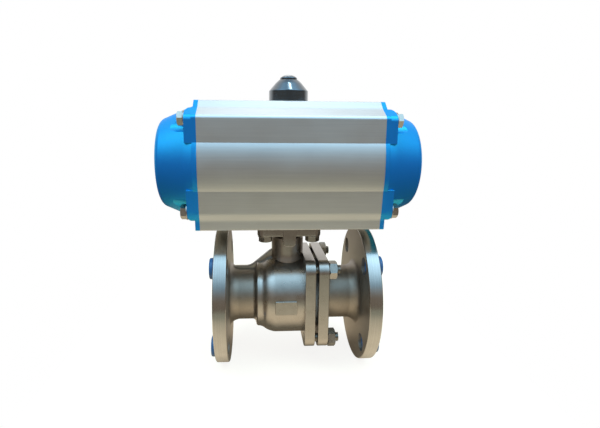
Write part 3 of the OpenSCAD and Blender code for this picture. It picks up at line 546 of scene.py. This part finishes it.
def slab(corners, origin, across, upward, depth, soften=0):
    """Plate work: an outline pushed by a depth, with both rims bevelled."""
    depth = Vector(depth)
    bm = bmesh.new()
    trace(bm, corners, Vector(origin), across, upward, True)
    face = bmesh.ops.contextual_create(bm, geom=bm.edges[:])["faces"]
    pushed = bmesh.ops.extrude_face_region(bm, geom=face)["geom"]
    moved = [part for part in pushed if isinstance(part, bmesh.types.BMVert)]
    bmesh.ops.translate(bm, verts=moved, vec=depth * MM)
    tidy(bm)
    if soften:
        ends = [f for f in bm.faces if abs(f.normal.dot(depth.normalized())) > 0.99]
        bmesh.ops.bevel(bm, geom=list({e for f in ends for e in f.edges}), offset=soften * MM,
                        offset_type="OFFSET", affect="EDGES", segments=3, profile=0.5,
                        material=-1, clamp_overlap=True)
    return bm


def rod(start, end, radius, rounding=0):
    """Outline of a plain cylinder for the lathe, with one rounded rim."""
    return [(start, 0, 0), (start, radius, rounding), (end, radius, 0), (end, 0, 0)]


print("outlines are in millimetres")

# %% Solids
SOLVER = "MANIFOLD"
DRILL_STEPS = 48


def solid(name, bm):
    """An object with the mesh of a bmesh, which is then freed."""
    mesh = bpy.data.meshes.new(name)
    bm.to_mesh(mesh)
    bm.free()
    made = bpy.data.objects.new(name, mesh)
    bpy.context.scene.collection.objects.link(made)
    return made


def gather(parts):
    """Several separate solids in one bmesh."""
    whole = bmesh.new()
    for part in parts:
        mesh = bpy.data.meshes.new("part")
        part.to_mesh(mesh)
        part.free()
        whole.from_mesh(mesh)
        bpy.data.meshes.remove(mesh)
    return whole


def copies(bm, places):
    """The same solid at several places, each given as a matrix."""
    made = []
    for place in places:
        made.append(bm.copy())
        bmesh.ops.transform(made[-1], matrix=place, verts=made[-1].verts[:])
    bm.free()
    return gather(made)


def taken(made):
    """The mesh of an object as a bmesh. The object itself is removed."""
    bm = bmesh.new()
    bm.from_mesh(made.data)
    bpy.data.objects.remove(made)
    return bm


def carve(made, operation, bm):
    """Join, cut or intersect an object with another solid, and keep the result."""
    tool = solid("tool", bm)
    step = made.modifiers.new(operation.lower(), "BOOLEAN")
    step.operation = operation
    step.solver = SOLVER
    step.object = tool
    evaluated = made.evaluated_get(bpy.context.evaluated_depsgraph_get())
    result = bpy.data.meshes.new_from_object(evaluated)
    made.modifiers.clear()
    made.data = result
    bpy.data.objects.remove(tool)


def drill(at, along, radius, depth, chamfer=0.0):
    """A drill with its countersink: along points out of the hole, at is on the surface."""
    wide = radius + 2 * chamfer + 1 if chamfer else radius
    return turned([(-depth, 0, 0), (-depth, radius, 0), (-chamfer, radius, 0),
                   (chamfer + 1, wide, 0), (chamfer + 1, 0, 0)], along, at, DRILL_STEPS)


print("solids are joined and cut by the", SOLVER, "solver")

# %% Pieces
SHARP = math.radians(32)


def dress(made, node, finish=None):
    """Finish a piece: its material, its shading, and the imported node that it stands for."""
    made.data.materials.clear()
    made.data.materials.append(finish or FINISH[slot_of[node]])
    made.data.shade_smooth()
    made.data.set_sharp_from_angle(angle=SHARP)
    even = made.modifiers.new("even shading", "WEIGHTED_NORMAL")
    even.keep_sharp = True
    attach(made, frame["nodes"][node]["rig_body"])
    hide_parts(node)
    print(made.name, len(made.data.polygons), "faces")


def box_mm(node):
    """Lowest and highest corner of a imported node, in millimetres."""
    return tuple(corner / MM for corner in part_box(node))


print("workshop ready")

# %% [markdown]
# ## Actuator body
# The body is an aluminium extrusion: one outline, the same along its whole length. The cylinder
# bulges out between flat sides. Above it the sides lean in to a narrow land on top, and below it
# they lean in a little to a wide land underneath. The arc of the bulge is one corner point, where
# its two end tangents meet, with a rounding that reaches both its neighbours.

# %% Body outline
body_low, body_high = box_mm("actuator_body")
AXIS_Z = (body_low.z + body_high.z) / 2
BODY_HALF = body_high.x
LAND_Z = (body_high.z - body_low.z) / 2
BULGE_R = -body_low.y
FLAT_Y = 56.0
FLAT_TOP = 47.5
BULGE_TOP = math.sqrt(BULGE_R ** 2 - FLAT_Y ** 2)
BULGE_FOOT = (55.84, -23.28)
RIDGE = (41, 55.5)
HEEL_TOP, HEEL_LOW = (53, -46), (50.5, -53)
LAND_HALF, FOOT_HALF = 32, 49.4
SHOULDER = [(FLAT_Y, BULGE_TOP, 0), (FLAT_Y, FLAT_TOP, 2.5), (*RIDGE, 2), (LAND_HALF, LAND_Z, 1.2)]
HEEL = [(FOOT_HALF, -LAND_Z, 1.2), (*HEEL_LOW, 1.5), (*HEEL_TOP, 1.5), (*BULGE_FOOT, 0)]
NEARLY = 0.999


def bulge_corner():
    """The point where the tangents at both ends of the bulge meet, with its rounding."""
    top, foot = math.asin(BULGE_TOP / BULGE_R), math.atan2(BULGE_FOOT[1], BULGE_FOOT[0])
    half, middle = (top - foot) / 2, (top + foot) / 2
    tip = BULGE_R / math.cos(half)
    return tip * math.cos(middle), tip * math.sin(middle), NEARLY * BULGE_R * math.tan(half)


def body_outline():
    """Closed outline of the extrusion, with the bulge of the cylinder on both sides."""
    back = HEEL + [bulge_corner()] + SHOULDER
    return back + [(-a, b, r) for a, b, r in reversed(back)]


on_axis = Vector((0, 0, AXIS_Z))
print("bulge up to", round(BULGE_TOP, 2), "mm, tip at", round(bulge_corner()[0], 2), "mm")

# %% [markdown]
# The back carries a pad with the two air ports and four small threads. The top has four threads for
# accessories. Each of these drills has a small countersink, which catches the light as on the real
# piece. The holes that screws and bolts fill stay plain.

# %% Body
BORE_R, BORE_REACH = 50.0, 100
PAD_ROOT, PAD_FACE = 52, body_high.y
PORT_PAD = [(28, 18, 3), (-28, 18, 3), (-28, -18, 3), (28, -18, 3)]
PORT_X, PORT = 12, (6.6, 14, 0.8)
M5 = (2.1, 9, 0.4)
PORT_SCREWS, TOP_SCREWS = (16, 12), (40, 15)
STOP_X, STOP_Z, STOP_HOLE = 20.0, 34.0, (5, 30)
PAD_BOLT_AT, PAD_BOLT_HOLE = 24.75, (4, 12)
BOLT_AT, BOLT_HOLE = 44.5, (4, 22)
TOP_BEARING, FOOT_BEARING = (16.05, 20), (22.1, 20)
QUARTERS = [(a, b) for a in (-1, 1) for b in (-1, 1)]


def body_drills():
    """All drills of the body: ports, small threads, stops, bolts and bearings."""
    made = [drill((x, PAD_FACE, AXIS_Z), Y_AXIS, *PORT) for x in (-PORT_X, PORT_X)]
    made += [drill((a * PORT_SCREWS[0], PAD_FACE, AXIS_Z + b * PORT_SCREWS[1]), Y_AXIS, *M5)
             for a, b in QUARTERS]
    made += [drill((x, FLAT_Y, AXIS_Z + STOP_Z), Y_AXIS, *STOP_HOLE) for x in (-STOP_X, STOP_X)]
    made += [drill((a * TOP_SCREWS[0], b * TOP_SCREWS[1], body_high.z), Z_AXIS, *M5)
             for a, b in QUARTERS]
    made += [drill((a * PAD_BOLT_AT, b * PAD_BOLT_AT, body_low.z), -Z_AXIS, *PAD_BOLT_HOLE)
             for a, b in QUARTERS]
    made += [drill((side * BODY_HALF, a * BOLT_AT, AXIS_Z + b * BOLT_AT), X_AXIS * side, *BOLT_HOLE)
             for side in (-1, 1) for a, b in QUARTERS]
    return made + [drill((0, 0, body_high.z), Z_AXIS, *TOP_BEARING),
                   drill((0, 0, body_low.z), -Z_AXIS, *FOOT_BEARING)]


def actuator_body():
    """The extrusion with its port pad, cylinder bore and drillings."""
    body = solid("actuator_body_piece", slab(body_outline(), on_axis - X_AXIS * BODY_HALF,
                                             Y_AXIS, Z_AXIS, (2 * BODY_HALF, 0, 0)))
    carve(body, "UNION", slab(PORT_PAD, on_axis + Y_AXIS * PAD_ROOT, X_AXIS, Z_AXIS,
                              (0, PAD_FACE - PAD_ROOT, 0), 0.6))
    carve(body, "DIFFERENCE", turned(rod(-BORE_REACH, BORE_REACH, BORE_R), X_AXIS, on_axis))
    carve(body, "DIFFERENCE", gather(body_drills()))
    dress(body, "actuator_body")


actuator_body()

# %% [markdown]
# ## End caps
# The caps are die cast and coated blue: a plate with the body's outline, a dome over the end of the
# cylinder, and four corner lugs whose round pockets give room for the bolt heads. The dome is a
# turned outline. The lugs are bevelled slabs, and one long slab with rounded edges is intersected
# with all four to round their noses. The pockets are cut with cylinders.

# %% Caps
PLATE_T = 4.5
LUG_T = 11.5
LUG_IN, LUG_END = 30, 22
UPPER_LUG = [(LUG_IN, LUG_END, 0), (FLAT_Y, LUG_END, 0.6), (FLAT_Y, FLAT_TOP, 4), (*RIDGE, 3),
             (LUG_IN, RIDGE[1], 0)]
LOWER_LUG = [(LUG_IN, -LUG_END, 0), (LUG_IN, HEEL_LOW[1], 0), (*HEEL_LOW, 2.5), (*HEEL_TOP, 3),
             (55.8, -LUG_END, 0.6)]
NOSE_TOP, NOSE_LOW, NOSE_R = RIDGE[1] + 0.5, HEEL_LOW[1] - 0.5, 6
LUG_NOSE = [(-1, NOSE_TOP, 0), (-1, NOSE_LOW, 0), (LUG_T, NOSE_LOW, NOSE_R),
            (LUG_T, NOSE_TOP, NOSE_R)]
NOSE_REACH = 60
DOME = [(0, 0, 0), (0, BULGE_R, 0), (9, 58.8, 5), (21, 53.6, 12), (42.4, 44.3, 4.5), (47, 9, 8),
        (47, 0, 0)]
HOLLOW = [(-1, 0, 0), (-1, BORE_R, 0), (17, BORE_R, 0), (36, 41, 4), (42, 30, 4), (42, 0, 0)]
POCKET = rod(LUG_T, 60, 12.0, 1)
LUG_HOLE = rod(-1, LUG_T + 1, 4.3)


def end_cap(node, side):
    """One cap, on the end of the cylinder given by its side, -1 or 1."""
    end = on_axis + X_AXIS * side * BODY_HALF
    outward = X_AXIS * side
    cap = solid(node + "_piece", slab(body_outline(), end, Y_AXIS, Z_AXIS, outward * PLATE_T, 0.8))
    lugs = solid("lugs", gather([
        slab([(y * a, b, r) for a, b, r in lug], end, Y_AXIS, Z_AXIS, outward * LUG_T, 1.8)
        for lug in (UPPER_LUG, LOWER_LUG) for y in (-1, 1)]))
    carve(lugs, "INTERSECT", slab(LUG_NOSE, end - Y_AXIS * NOSE_REACH, outward, Z_AXIS,
                                  Y_AXIS * 2 * NOSE_REACH))
    carve(cap, "UNION", taken(lugs))
    carve(cap, "UNION", turned(DOME, outward, end, 192))
    carve(cap, "DIFFERENCE", turned(HOLLOW, outward, end))
    bolts = [end + Y_AXIS * y * BOLT_AT + Z_AXIS * z * BOLT_AT for y, z in QUARTERS]
    carve(cap, "DIFFERENCE", gather([turned(POCKET, outward, at, 64) for at in bolts]))
    carve(cap, "DIFFERENCE", gather([turned(LUG_HOLE, outward, at, 32) for at in bolts]))
    dress(cap, node)


end_cap("left_end_cap", -1)
end_cap("right_end_cap", 1)

# %% [markdown]
# ## Hexagons and threads
# A hexagon head is a six-sided bar whose corners are turned off by a flat cone, so a six-cornered
# slab is intersected with a turned shape. A thread is one tooth outline that moves on by a pitch
# in each turn of the spin. Both ends are then cut square and filled.

# %% Hexagons
FACE_SHARE = 0.475
CORNER_SLOPE = math.tan(math.radians(30))


def six_corners(radius):
    """Outline of a hexagon with its corners at a radius."""
    return [(radius * math.cos(math.radians(60 * k)), radius * math.sin(math.radians(60 * k)), 0)
            for k in range(6)]


def hexagon(flats, height, both_ends=False):
    """A hexagon along X from 0 to its height, with turned corners on the top or on both ends."""
    corner = flats / math.sqrt(3)
    face = FACE_SHARE * flats
    drop = (corner - face) * CORNER_SLOPE
    made = solid("hexagon", slab(six_corners(corner), (0, 0, 0), Y_AXIS, Z_AXIS, (height, 0, 0)))
    foot = [(0, face, 0), (drop, corner, 0)] if both_ends else [(0, corner + 1, 0)]
    top = [(height - drop, corner + 0.01, 0), (height, face, 0), (height, 0, 0)]
    carve(made, "INTERSECT", turned([(0, 0, 0)] + foot + top, X_AXIS, steps=96))
    return taken(made)


print("corners of a 13 mm hexagon:", len(six_corners(13 / math.sqrt(3))))

# %% Threads
THREAD_DEPTH = 0.61
TOOTH = ((0, 0), (0.4, 1), (0.55, 1), (0.9, 0), (1, 0))
TURN_STEPS = 24
THREAD_MERGE = 0.01
M10_R, M10_PITCH = 5, 1.5


def threaded(radius, pitch, length):
    """A threaded rod along X from 0 to its length: a tooth outline spun with an advance."""
    turns = int(length / pitch) + 3
    root = radius - THREAD_DEPTH * pitch
    bm = bmesh.new()
    tooth = [(share * pitch, radius if crest else root, 0) for share, crest in TOOTH]
    trace(bm, tooth, X_AXIS * -2 * pitch, X_AXIS, Z_AXIS, False)
    bmesh.ops.spin(bm, geom=bm.verts[:] + bm.edges[:], cent=(0, 0, 0), axis=X_AXIS,
                   angle=math.tau * turns, steps=TURN_STEPS * turns,
                   dvec=X_AXIS * pitch * MM / TURN_STEPS)
    bmesh.ops.remove_doubles(bm, verts=bm.verts[:], dist=THREAD_MERGE * MM)
    for at, way in ((0, -1), (length, 1)):
        bmesh.ops.bisect_plane(bm, geom=bm.verts[:] + bm.edges[:] + bm.faces[:],
                               plane_co=(at * MM, 0, 0), plane_no=X_AXIS * way, clear_outer=True)
    bmesh.ops.holes_fill(bm, edges=[e for e in bm.edges if e.is_boundary])
    tidy(bm)
    return bm


def placed(at, along, roll=0.0):
    """Matrix that lays a fastener made along X at a point, along an axis, with a turn."""
    turn = along.to_track_quat("X", "Z").to_matrix().to_4x4()
    return Matrix.Translation(Vector(at) * MM) @ turn @ Matrix.Rotation(math.radians(roll), 4, "X")


print("thread of a stud:", len(threaded(M10_R, M10_PITCH, 37).faces), "faces")

# %% [markdown]
# ## Cap bolts and washers
# Eight hexagon bolts hold the caps. Each was tightened to its own angle, so no two heads stand
# alike. Their washers are stamped, with slightly rounded edges.

# %% Cap bolts
LUG_FACE = BODY_HALF + LUG_T
M8_FLATS, M8_HEAD, M8_R = 13, 5.3, 4
WASHER_IN, WASHER_OUT, WASHER_T = 4.2, 8, 1.6
CAP_SHANK = 30
CAP_ROLLS = (36, 7, 19, 55, 28, 3, 47, 13)
spots = [(side, y * BOLT_AT, AXIS_Z + z * BOLT_AT) for side in (-1, 1) for y, z in QUARTERS]


def bolt(shank):
    """An M8 hexagon bolt along X: its head starts at 0, and its shank runs back from there."""
    body = turned(rod(-shank, 0.5, M8_R, 0.8), X_AXIS, steps=32)
    return gather([hexagon(M8_FLATS, M8_HEAD), body])


def washer():
    """A stamped M8 washer along X from 0 to its thickness."""
    return turned([(0, WASHER_IN, 0.2), (0, WASHER_OUT, 0.4), (WASHER_T, WASHER_OUT, 0.4),
                   (WASHER_T, WASHER_IN, 0.2)], X_AXIS, steps=64)


dress(solid("end_cap_bolts_piece", copies(bolt(CAP_SHANK), [
    placed((side * (LUG_FACE + WASHER_T), y, z), X_AXIS * side, roll)
    for (side, y, z), roll in zip(spots, CAP_ROLLS)])), "end_cap_bolts")
dress(solid("end_cap_washers_piece", copies(washer(), [
    placed((side * LUG_FACE, y, z), X_AXIS * side) for side, y, z in spots])), "end_cap_washers")

# %% [markdown]
# ## Position indicator
# The black indicator is moulded: a drum with fine ribs, a cone, and a button in the middle, set off
# by a groove. The ribs are steps in the turned outline. The button has a fine slot across its top.

# %% Drum
drum_low, drum_high = box_mm("indicator_housing")
DRUM_R = drum_high.x
DRUM_TOP = drum_low.z + 10.6
CONE_TOP = drum_high.z - 1.0
RIBS = 7
RIB_DEPTH = 0.06
RIB_MARGIN = 0.6
SKIRT_R, SKIRT_TOP = 18.7, 216
SOCKET_R, SOCKET_TOP = 12.3, 229.7


def indicator_outline():
    """Half section of the drum and cone, hollow below, as (height, radius, rounding)."""
    pitch = (DRUM_TOP - drum_low.z - 2 * RIB_MARGIN) / RIBS
    ribs = []
    for k in range(RIBS):
        foot = drum_low.z + RIB_MARGIN + k * pitch
        ribs += [(foot, DRUM_R - RIB_DEPTH, 0), (foot + 0.3 * pitch, DRUM_R, 0.1),
                 (foot + 0.7 * pitch, DRUM_R, 0.1)]
    inside = [(SOCKET_TOP, 0, 0), (SOCKET_TOP, SOCKET_R, 0), (SKIRT_TOP, SOCKET_R, 0),
              (SKIRT_TOP, SKIRT_R, 0), (drum_low.z, SKIRT_R, 0)]
    cone = [(DRUM_TOP, DRUM_R, 0.6), (DRUM_TOP + 8, 13.6, 1.5), (CONE_TOP, 10.2, 0.4),
            (CONE_TOP, 0, 0)]
    return inside + [(drum_low.z, DRUM_R - RIB_DEPTH, 0.1)] + ribs + cone


drum = solid("indicator_housing_piece", turned(indicator_outline(), Z_AXIS, steps=160))
dress(drum, "indicator_housing")

# %% Button
knob_low, knob_high = box_mm("indicator_button")
KNOB_TOP = knob_high.z
PEG_R, GROOVE_R, KNOB_R = 3, 8.6, 9
SLOT = [(-0.6, -12, 0), (0.6, -12, 0), (0.6, 12, 0), (-0.6, 12, 0)]
SLOT_DEPTH = 0.7

knob = solid("indicator_button_piece", turned([
    (knob_low.z, 0, 0), (knob_low.z, PEG_R, 0), (CONE_TOP - 0.2, PEG_R, 0),
    (CONE_TOP - 0.2, GROOVE_R, 0), (CONE_TOP + 0.6, GROOVE_R, 0), (CONE_TOP + 0.7, KNOB_R, 0),
    (KNOB_TOP - 3.5, KNOB_R, 0.6), (KNOB_TOP - 1.2, 6.4, 2.5), (KNOB_TOP, 0, 0)],
    Z_AXIS, steps=96))
carve(knob, "DIFFERENCE", slab(SLOT, (0, 0, KNOB_TOP - SLOT_DEPTH), X_AXIS, Y_AXIS, (0, 0, 2)))
dress(knob, "indicator_button")

# %% [markdown]
# ## Valve
# Both valve castings are stainless steel. The flanges were turned after casting: crisp rims with a
# small chamfer, and a raised face for the gasket. The housing and the joint flanges were blasted to
# a satin skin, and the necks and the inner sides of the flanges keep the dull skin of the mould.
# The skin's darker, browner colour is also painted shade, for the shade that falls in these
# recesses.
# Where the walls meet there are fillets, which are roundings of the turned outline.

# %% What both castings share
left_low, left_high = box_mm("valve_body")
right_low, right_high = box_mm("valve_end_piece")
FLANGE_R, FLANGE_T = right_high.z, 16
FACE_R, FACE_T = 46, 2.5
NECK_R = 29.5
FLOW_R = 20.0
BALL_R = 31.0
SEAT_R, SEAT_OUT = 28.4, math.sqrt(BALL_R ** 2 - FLOW_R ** 2) + 8.3
HOLE_AT, FLANGE_HOLE = 120.7 / 2 / math.sqrt(2), (9.5, 30, 0.7)
STUD_AT = 38.0
FLANGE = [(FLANGE_T, 34.5, 3), (FLANGE_T, FLANGE_R, 1.2), (FACE_T, FLANGE_R, 1.2),
          (FACE_T, FACE_R, 0.5), (0, FACE_R, 0.5), (0, 0, 0)]
SQUARE = [(48, -48, 13), (48, 48, 13), (-48, 48, 13), (-48, -48, 13)]
SQUARE_T = 11
BLASTED = (-37.0, 41.5)
RIM_SKIN, FACE_SKIN = 1.3, 2.6


def flange_holes(face, side):
    """Four countersunk bolt holes, drilled from a flange's face."""
    return gather([drill((face, y * HOLE_AT, z * HOLE_AT), X_AXIS * side, *FLANGE_HOLE)
                   for y, z in QUARTERS])


def cast_and_turned(made, node):
    """Blasted skin in the middle, dull skin with painted shade on the necks and inner flange sides,
    rings on rims and outer faces.
    """
    dress(made, node, FINISH["cast_stainless"])
    made.data.materials.append(FINISH["turned_stainless"])
    made.data.materials.append(FINISH["dull_stainless"])
    for face in made.data.polygons:
        spot = face.center / MM
        on_rim = math.hypot(spot.y, spot.z) > FLANGE_R - RIM_SKIN
        if on_rim or not left_low.x + FACE_SKIN <= spot.x <= right_high.x - FACE_SKIN:
            face.material_index = 1
        # Necks and inner flange sides: dull skin, its darker colour partly painted shade.
        elif not BLASTED[0] < spot.x < BLASTED[1]:
            face.material_index = 2


print("bolt holes at", round(HOLE_AT, 2), "mm, seats", round(SEAT_OUT, 2), "mm from the middle")

# %% End piece
SPIGOT_R, SPIGOT_END = 33.8, 36
RIGHT_SQUARE = 30
NECK = [(right_low.x, 0, 0), (right_low.x, SPIGOT_R, 0.5), (SPIGOT_END, SPIGOT_R, 0),
        (SPIGOT_END, 38, 0), (41.05, 38, 0), (41.05, NECK_R, 4), (70, NECK_R, 4)]
RIGHT_BORE = [(0, 0, 0), (0, SEAT_R, 0), (SEAT_OUT, SEAT_R, 0), (SEAT_OUT, FLOW_R, 0),
              (right_high.x - 0.8, FLOW_R, 0), (right_high.x + 1, FLOW_R + 1.8, 0),
              (right_high.x + 1, 0, 0)]


def valve_end_piece():
    """Right casting: spigot, square joint flange, neck and pipe flange."""
    outside = NECK + [(right_high.x - d, r, c) for d, r, c in FLANGE]
    made = solid("valve_end_piece_piece", turned(outside, X_AXIS, steps=192))
    carve(made, "UNION", slab(SQUARE, (RIGHT_SQUARE, 0, 0), Y_AXIS, Z_AXIS, (SQUARE_T, 0, 0), 1.0))
    carve(made, "DIFFERENCE", turned(RIGHT_BORE, X_AXIS))
    carve(made, "DIFFERENCE", flange_holes(right_high.x - FACE_T, 1))
    carve(made, "DIFFERENCE", gather([
        drill((RIGHT_SQUARE + SQUARE_T, y * STUD_AT, z * STUD_AT), X_AXIS, 5.5, 20)
        for y, z in QUARTERS]))
    cast_and_turned(made, "valve_end_piece")


valve_end_piece()

# %% [markdown]
# The left casting holds the ball. Its housing steps up from the neck, and a thin rib runs from the
# flange over the neck up to the stem collar. A square pad on the collar, over a turned groove,
# carries the actuator. A rounded web crosses under the pad and stands a little proud of its front
# and back edges. A bare raised field sits on the front.

# %% Outlines of the valve body
LEFT_SQUARE = 16
PAD_LOW, PAD_HALF = 73.0, 33.25
WEB_TOP, WEB_HALF = left_high.z - 0.4, 34.4
RIB_T = 6
FIELD_FACE, FIELD_T = -45.5, 12
BARREL = [(left_low.x + d, r, c) for d, r, c in reversed(FLANGE)] + [
    (-57, NECK_R, 4), (-36.2, NECK_R, 2.5), (-34.3, 37, 1.6), (-28.5, 37.4, 3), (-20, 44, 7),
    (20, 44, 0), (20, 0, 0)]
RIB = [(-65, 10, 0), (-65, 32, 0), (-41.5, 32, 4), (-17.5, 52, 4), (-10, 52, 0), (-10, 10, 0)]
COLLAR = [(20, 0, 0), (20, 19.5, 0), (40, 19, 3), (46, 17.5, 4), (66.5, 17.5, 0.8), (67, 15, 0.4),
          (69.5, 15, 0.4), (PAD_LOW - 0.5, 19.5, 0), (PAD_LOW + 4, 19.5, 0), (PAD_LOW + 4, 0, 0)]
WEB = [(6.75, WEB_TOP, 0), (-6.75, WEB_TOP, 0), (-6.75, 62, 3.5), (6.75, 62, 3.5)]
PAD = [(PAD_HALF, -PAD_HALF, 8), (PAD_HALF, PAD_HALF, 8), (-PAD_HALF, PAD_HALF, 8),
       (-PAD_HALF, -PAD_HALF, 8)]
FIELD = [(-15, -9, 1.5), (8, -9, 1.5), (8, 6, 1.5), (-15, 6, 1.5)]
LEFT_BORE = [(-82, 0, 0), (-82, FLOW_R + 2.8, 0), (left_low.x + 0.8, FLOW_R, 0),
             (-SEAT_OUT, FLOW_R, 0), (-SEAT_OUT, SEAT_R, 0), (-27.5, SEAT_R, 0), (-27.5, 34, 0),
             (25, 34, 0), (25, 38, 0), (28, 38, 0), (28, 0, 0)]
STEM_BORE = [(20, 0, 0), (20, 12.1, 0), (39, 12.1, 0), (39, 9.1, 0), (58, 9.1, 0), (58, 13, 0),
             (71, 13, 0), (71, 16.5, 0), (90, 16.5, 0), (90, 0, 0)]
print("pad from", PAD_LOW, "to", round(left_high.z, 2), "mm")

# %% Valve body
def valve_body():
    """Left casting: pipe flange, neck, housing, joint flange, rib, collar, web and pad."""
    made = solid("valve_body_piece", turned(BARREL, X_AXIS, steps=192))
    carve(made, "UNION", slab(SQUARE, (LEFT_SQUARE, 0, 0), Y_AXIS, Z_AXIS, (SQUARE_T, 0, 0), 1.0))
    carve(made, "UNION", slab(RIB, (0, -RIB_T / 2, 0), X_AXIS, Z_AXIS, (0, RIB_T, 0), 1.2))
    carve(made, "UNION", turned(COLLAR, Z_AXIS))
    carve(made, "UNION", slab(WEB, (0, -WEB_HALF, 0), X_AXIS, Z_AXIS, (0, 2 * WEB_HALF, 0), 0.8))
    carve(made, "UNION", slab(PAD, (0, 0, PAD_LOW), X_AXIS, Y_AXIS,
                              (0, 0, left_high.z - PAD_LOW), 0.8))
    carve(made, "UNION", slab(FIELD, (0, FIELD_FACE, 0), X_AXIS, Z_AXIS, (0, FIELD_T, 0), 0.7))
    carve(made, "DIFFERENCE", turned(LEFT_BORE, X_AXIS))
    carve(made, "DIFFERENCE", turned(STEM_BORE, Z_AXIS, steps=64))
    carve(made, "DIFFERENCE", flange_holes(left_low.x + FACE_T, -1))
    carve(made, "DIFFERENCE", gather(
        [drill((LEFT_SQUARE, y * STUD_AT, z * STUD_AT), -X_AXIS, 5.05, 20) for y, z in QUARTERS]
        + [drill((x * PAD_BOLT_AT, y * PAD_BOLT_AT, PAD_LOW), -Z_AXIS, 4.4, 20)
           for x, y in QUARTERS]))
    cast_and_turned(made, "valve_body")


valve_body()

# %% [markdown]
# ## Joint studs, nuts and pad bolts
# Four M10 studs are screwed into the left joint flange and carry nuts on the right. Their threads
# show in the gap and past the nuts. Four bolts come from below through the pad.

# %% Studs and nuts
stud_low, stud_high = box_mm("body_studs")
nut_low, nut_high = box_mm("body_nuts")
NUT_FLATS, NUT_BORE_R, NUT_SINK = 17, 5.05, 1.6
NUT_ROLLS = (15, 3, 35, 28)
corners = [(y * STUD_AT, z * STUD_AT) for y, z in QUARTERS]


def hex_nut(height):
    """An M10 nut along X with both ends turned and a countersunk bore."""
    made = solid("nut", hexagon(NUT_FLATS, height, True))
    wide = NUT_BORE_R + NUT_SINK
    carve(made, "DIFFERENCE", turned([
        (-1, 0, 0), (-1, wide, 0), (0.8, NUT_BORE_R, 0), (height - 0.8, NUT_BORE_R, 0),
        (height + 1, wide, 0), (height + 1, 0, 0)], X_AXIS, steps=48))
    return taken(made)


dress(solid("body_studs_piece", copies(threaded(M10_R, M10_PITCH, stud_high.x - stud_low.x), [
    placed((stud_low.x, y, z), X_AXIS) for y, z in corners])), "body_studs")
dress(solid("body_nuts_piece", copies(hex_nut(nut_high.x - nut_low.x), [
    placed((nut_low.x, y, z), X_AXIS, roll)
    for (y, z), roll in zip(corners, NUT_ROLLS)])), "body_nuts")

# %% Pad bolts
PAD_SHANK = 22
PAD_ROLLS = (12, 30, 40, 5)
pad_spots = [(x * PAD_BOLT_AT, y * PAD_BOLT_AT) for x, y in QUARTERS]
dress(solid("pad_washers_piece", copies(washer(), [
    placed((x, y, PAD_LOW), -Z_AXIS) for x, y in pad_spots])), "pad_washers")
dress(solid("pad_bolts_piece", copies(bolt(PAD_SHANK), [
    placed((x, y, PAD_LOW - WASHER_T), -Z_AXIS, roll)
    for (x, y), roll in zip(pad_spots, PAD_ROLLS)])), "pad_bolts")

# %% [markdown]
# ## Travel stops
# On the back, two set screws with lock nuts limit the turn. Each has a hexagon socket in its end.

# %% Stop screws
stop_low, stop_high = box_mm("stop_screws")
lock_low, lock_high = box_mm("stop_locknuts")
SOCKET_CORNER, SOCKET_DEPTH = 2.9, 4
LOCK_ROLLS = (10, 34)
stops = [(x, AXIS_Z + STOP_Z) for x in (-STOP_X, STOP_X)]


def set_screw(length):
    """A threaded rod along X with a 5 mm hexagon socket in its far end."""
    made = solid("screw", threaded(M10_R, M10_PITCH, length))
    carve(made, "DIFFERENCE", slab(six_corners(SOCKET_CORNER), (length - SOCKET_DEPTH, 0, 0),
                                   Y_AXIS, Z_AXIS, (SOCKET_DEPTH + 2, 0, 0)))
    return taken(made)


dress(solid("stop_screws_piece", copies(set_screw(stop_high.y - stop_low.y), [
    placed((x, stop_low.y, z), Y_AXIS) for x, z in stops])), "stop_screws")
dress(solid("stop_locknuts_piece", copies(hex_nut(lock_high.y - lock_low.y), [
    placed((x, lock_low.y, z), Y_AXIS, roll)
    for (x, z), roll in zip(stops, LOCK_ROLLS)])), "stop_locknuts")

# %% [markdown]
# ## Plastic sleeves
# Blue plastic sleeves protect the front bolt holes of both flanges. Each has a thick soft collar.
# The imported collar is 6 mm thick. The one drawn here is thinner, as in the photograph.

# %% Sleeves
sleeve_low, sleeve_high = box_mm("flange_hole_sleeves")
PACKED_COLLAR_T = 6
SLEEVE = [(-10, 9.1, 0.2), (-10, 9.45, 0.2), (0, 9.45, 0), (0, 10.9, 1), (4.4, 10.9, 1.5),
          (4.4, 9.1, 0.3)]
faces = ((sleeve_low.x + PACKED_COLLAR_T, -1), (sleeve_high.x - PACKED_COLLAR_T, 1))
dress(solid("flange_hole_sleeves_piece", gather([
    turned(SLEEVE, X_AXIS * side, (face, -HOLE_AT, z), 64)
    for face, side in faces for z in (-HOLE_AT, HOLE_AT)])), "flange_hole_sleeves")

# %% [markdown]
# ## Size
# The dressed model must keep the real size, so both boxes are written down for comparison.

# %% Write the sizes and finish
low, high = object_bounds()
pairs = zip((*cad_low, *cad_high), (*low, *high))
print("box differs by", [round((b - a) / MM, 2) for a, b in pairs])
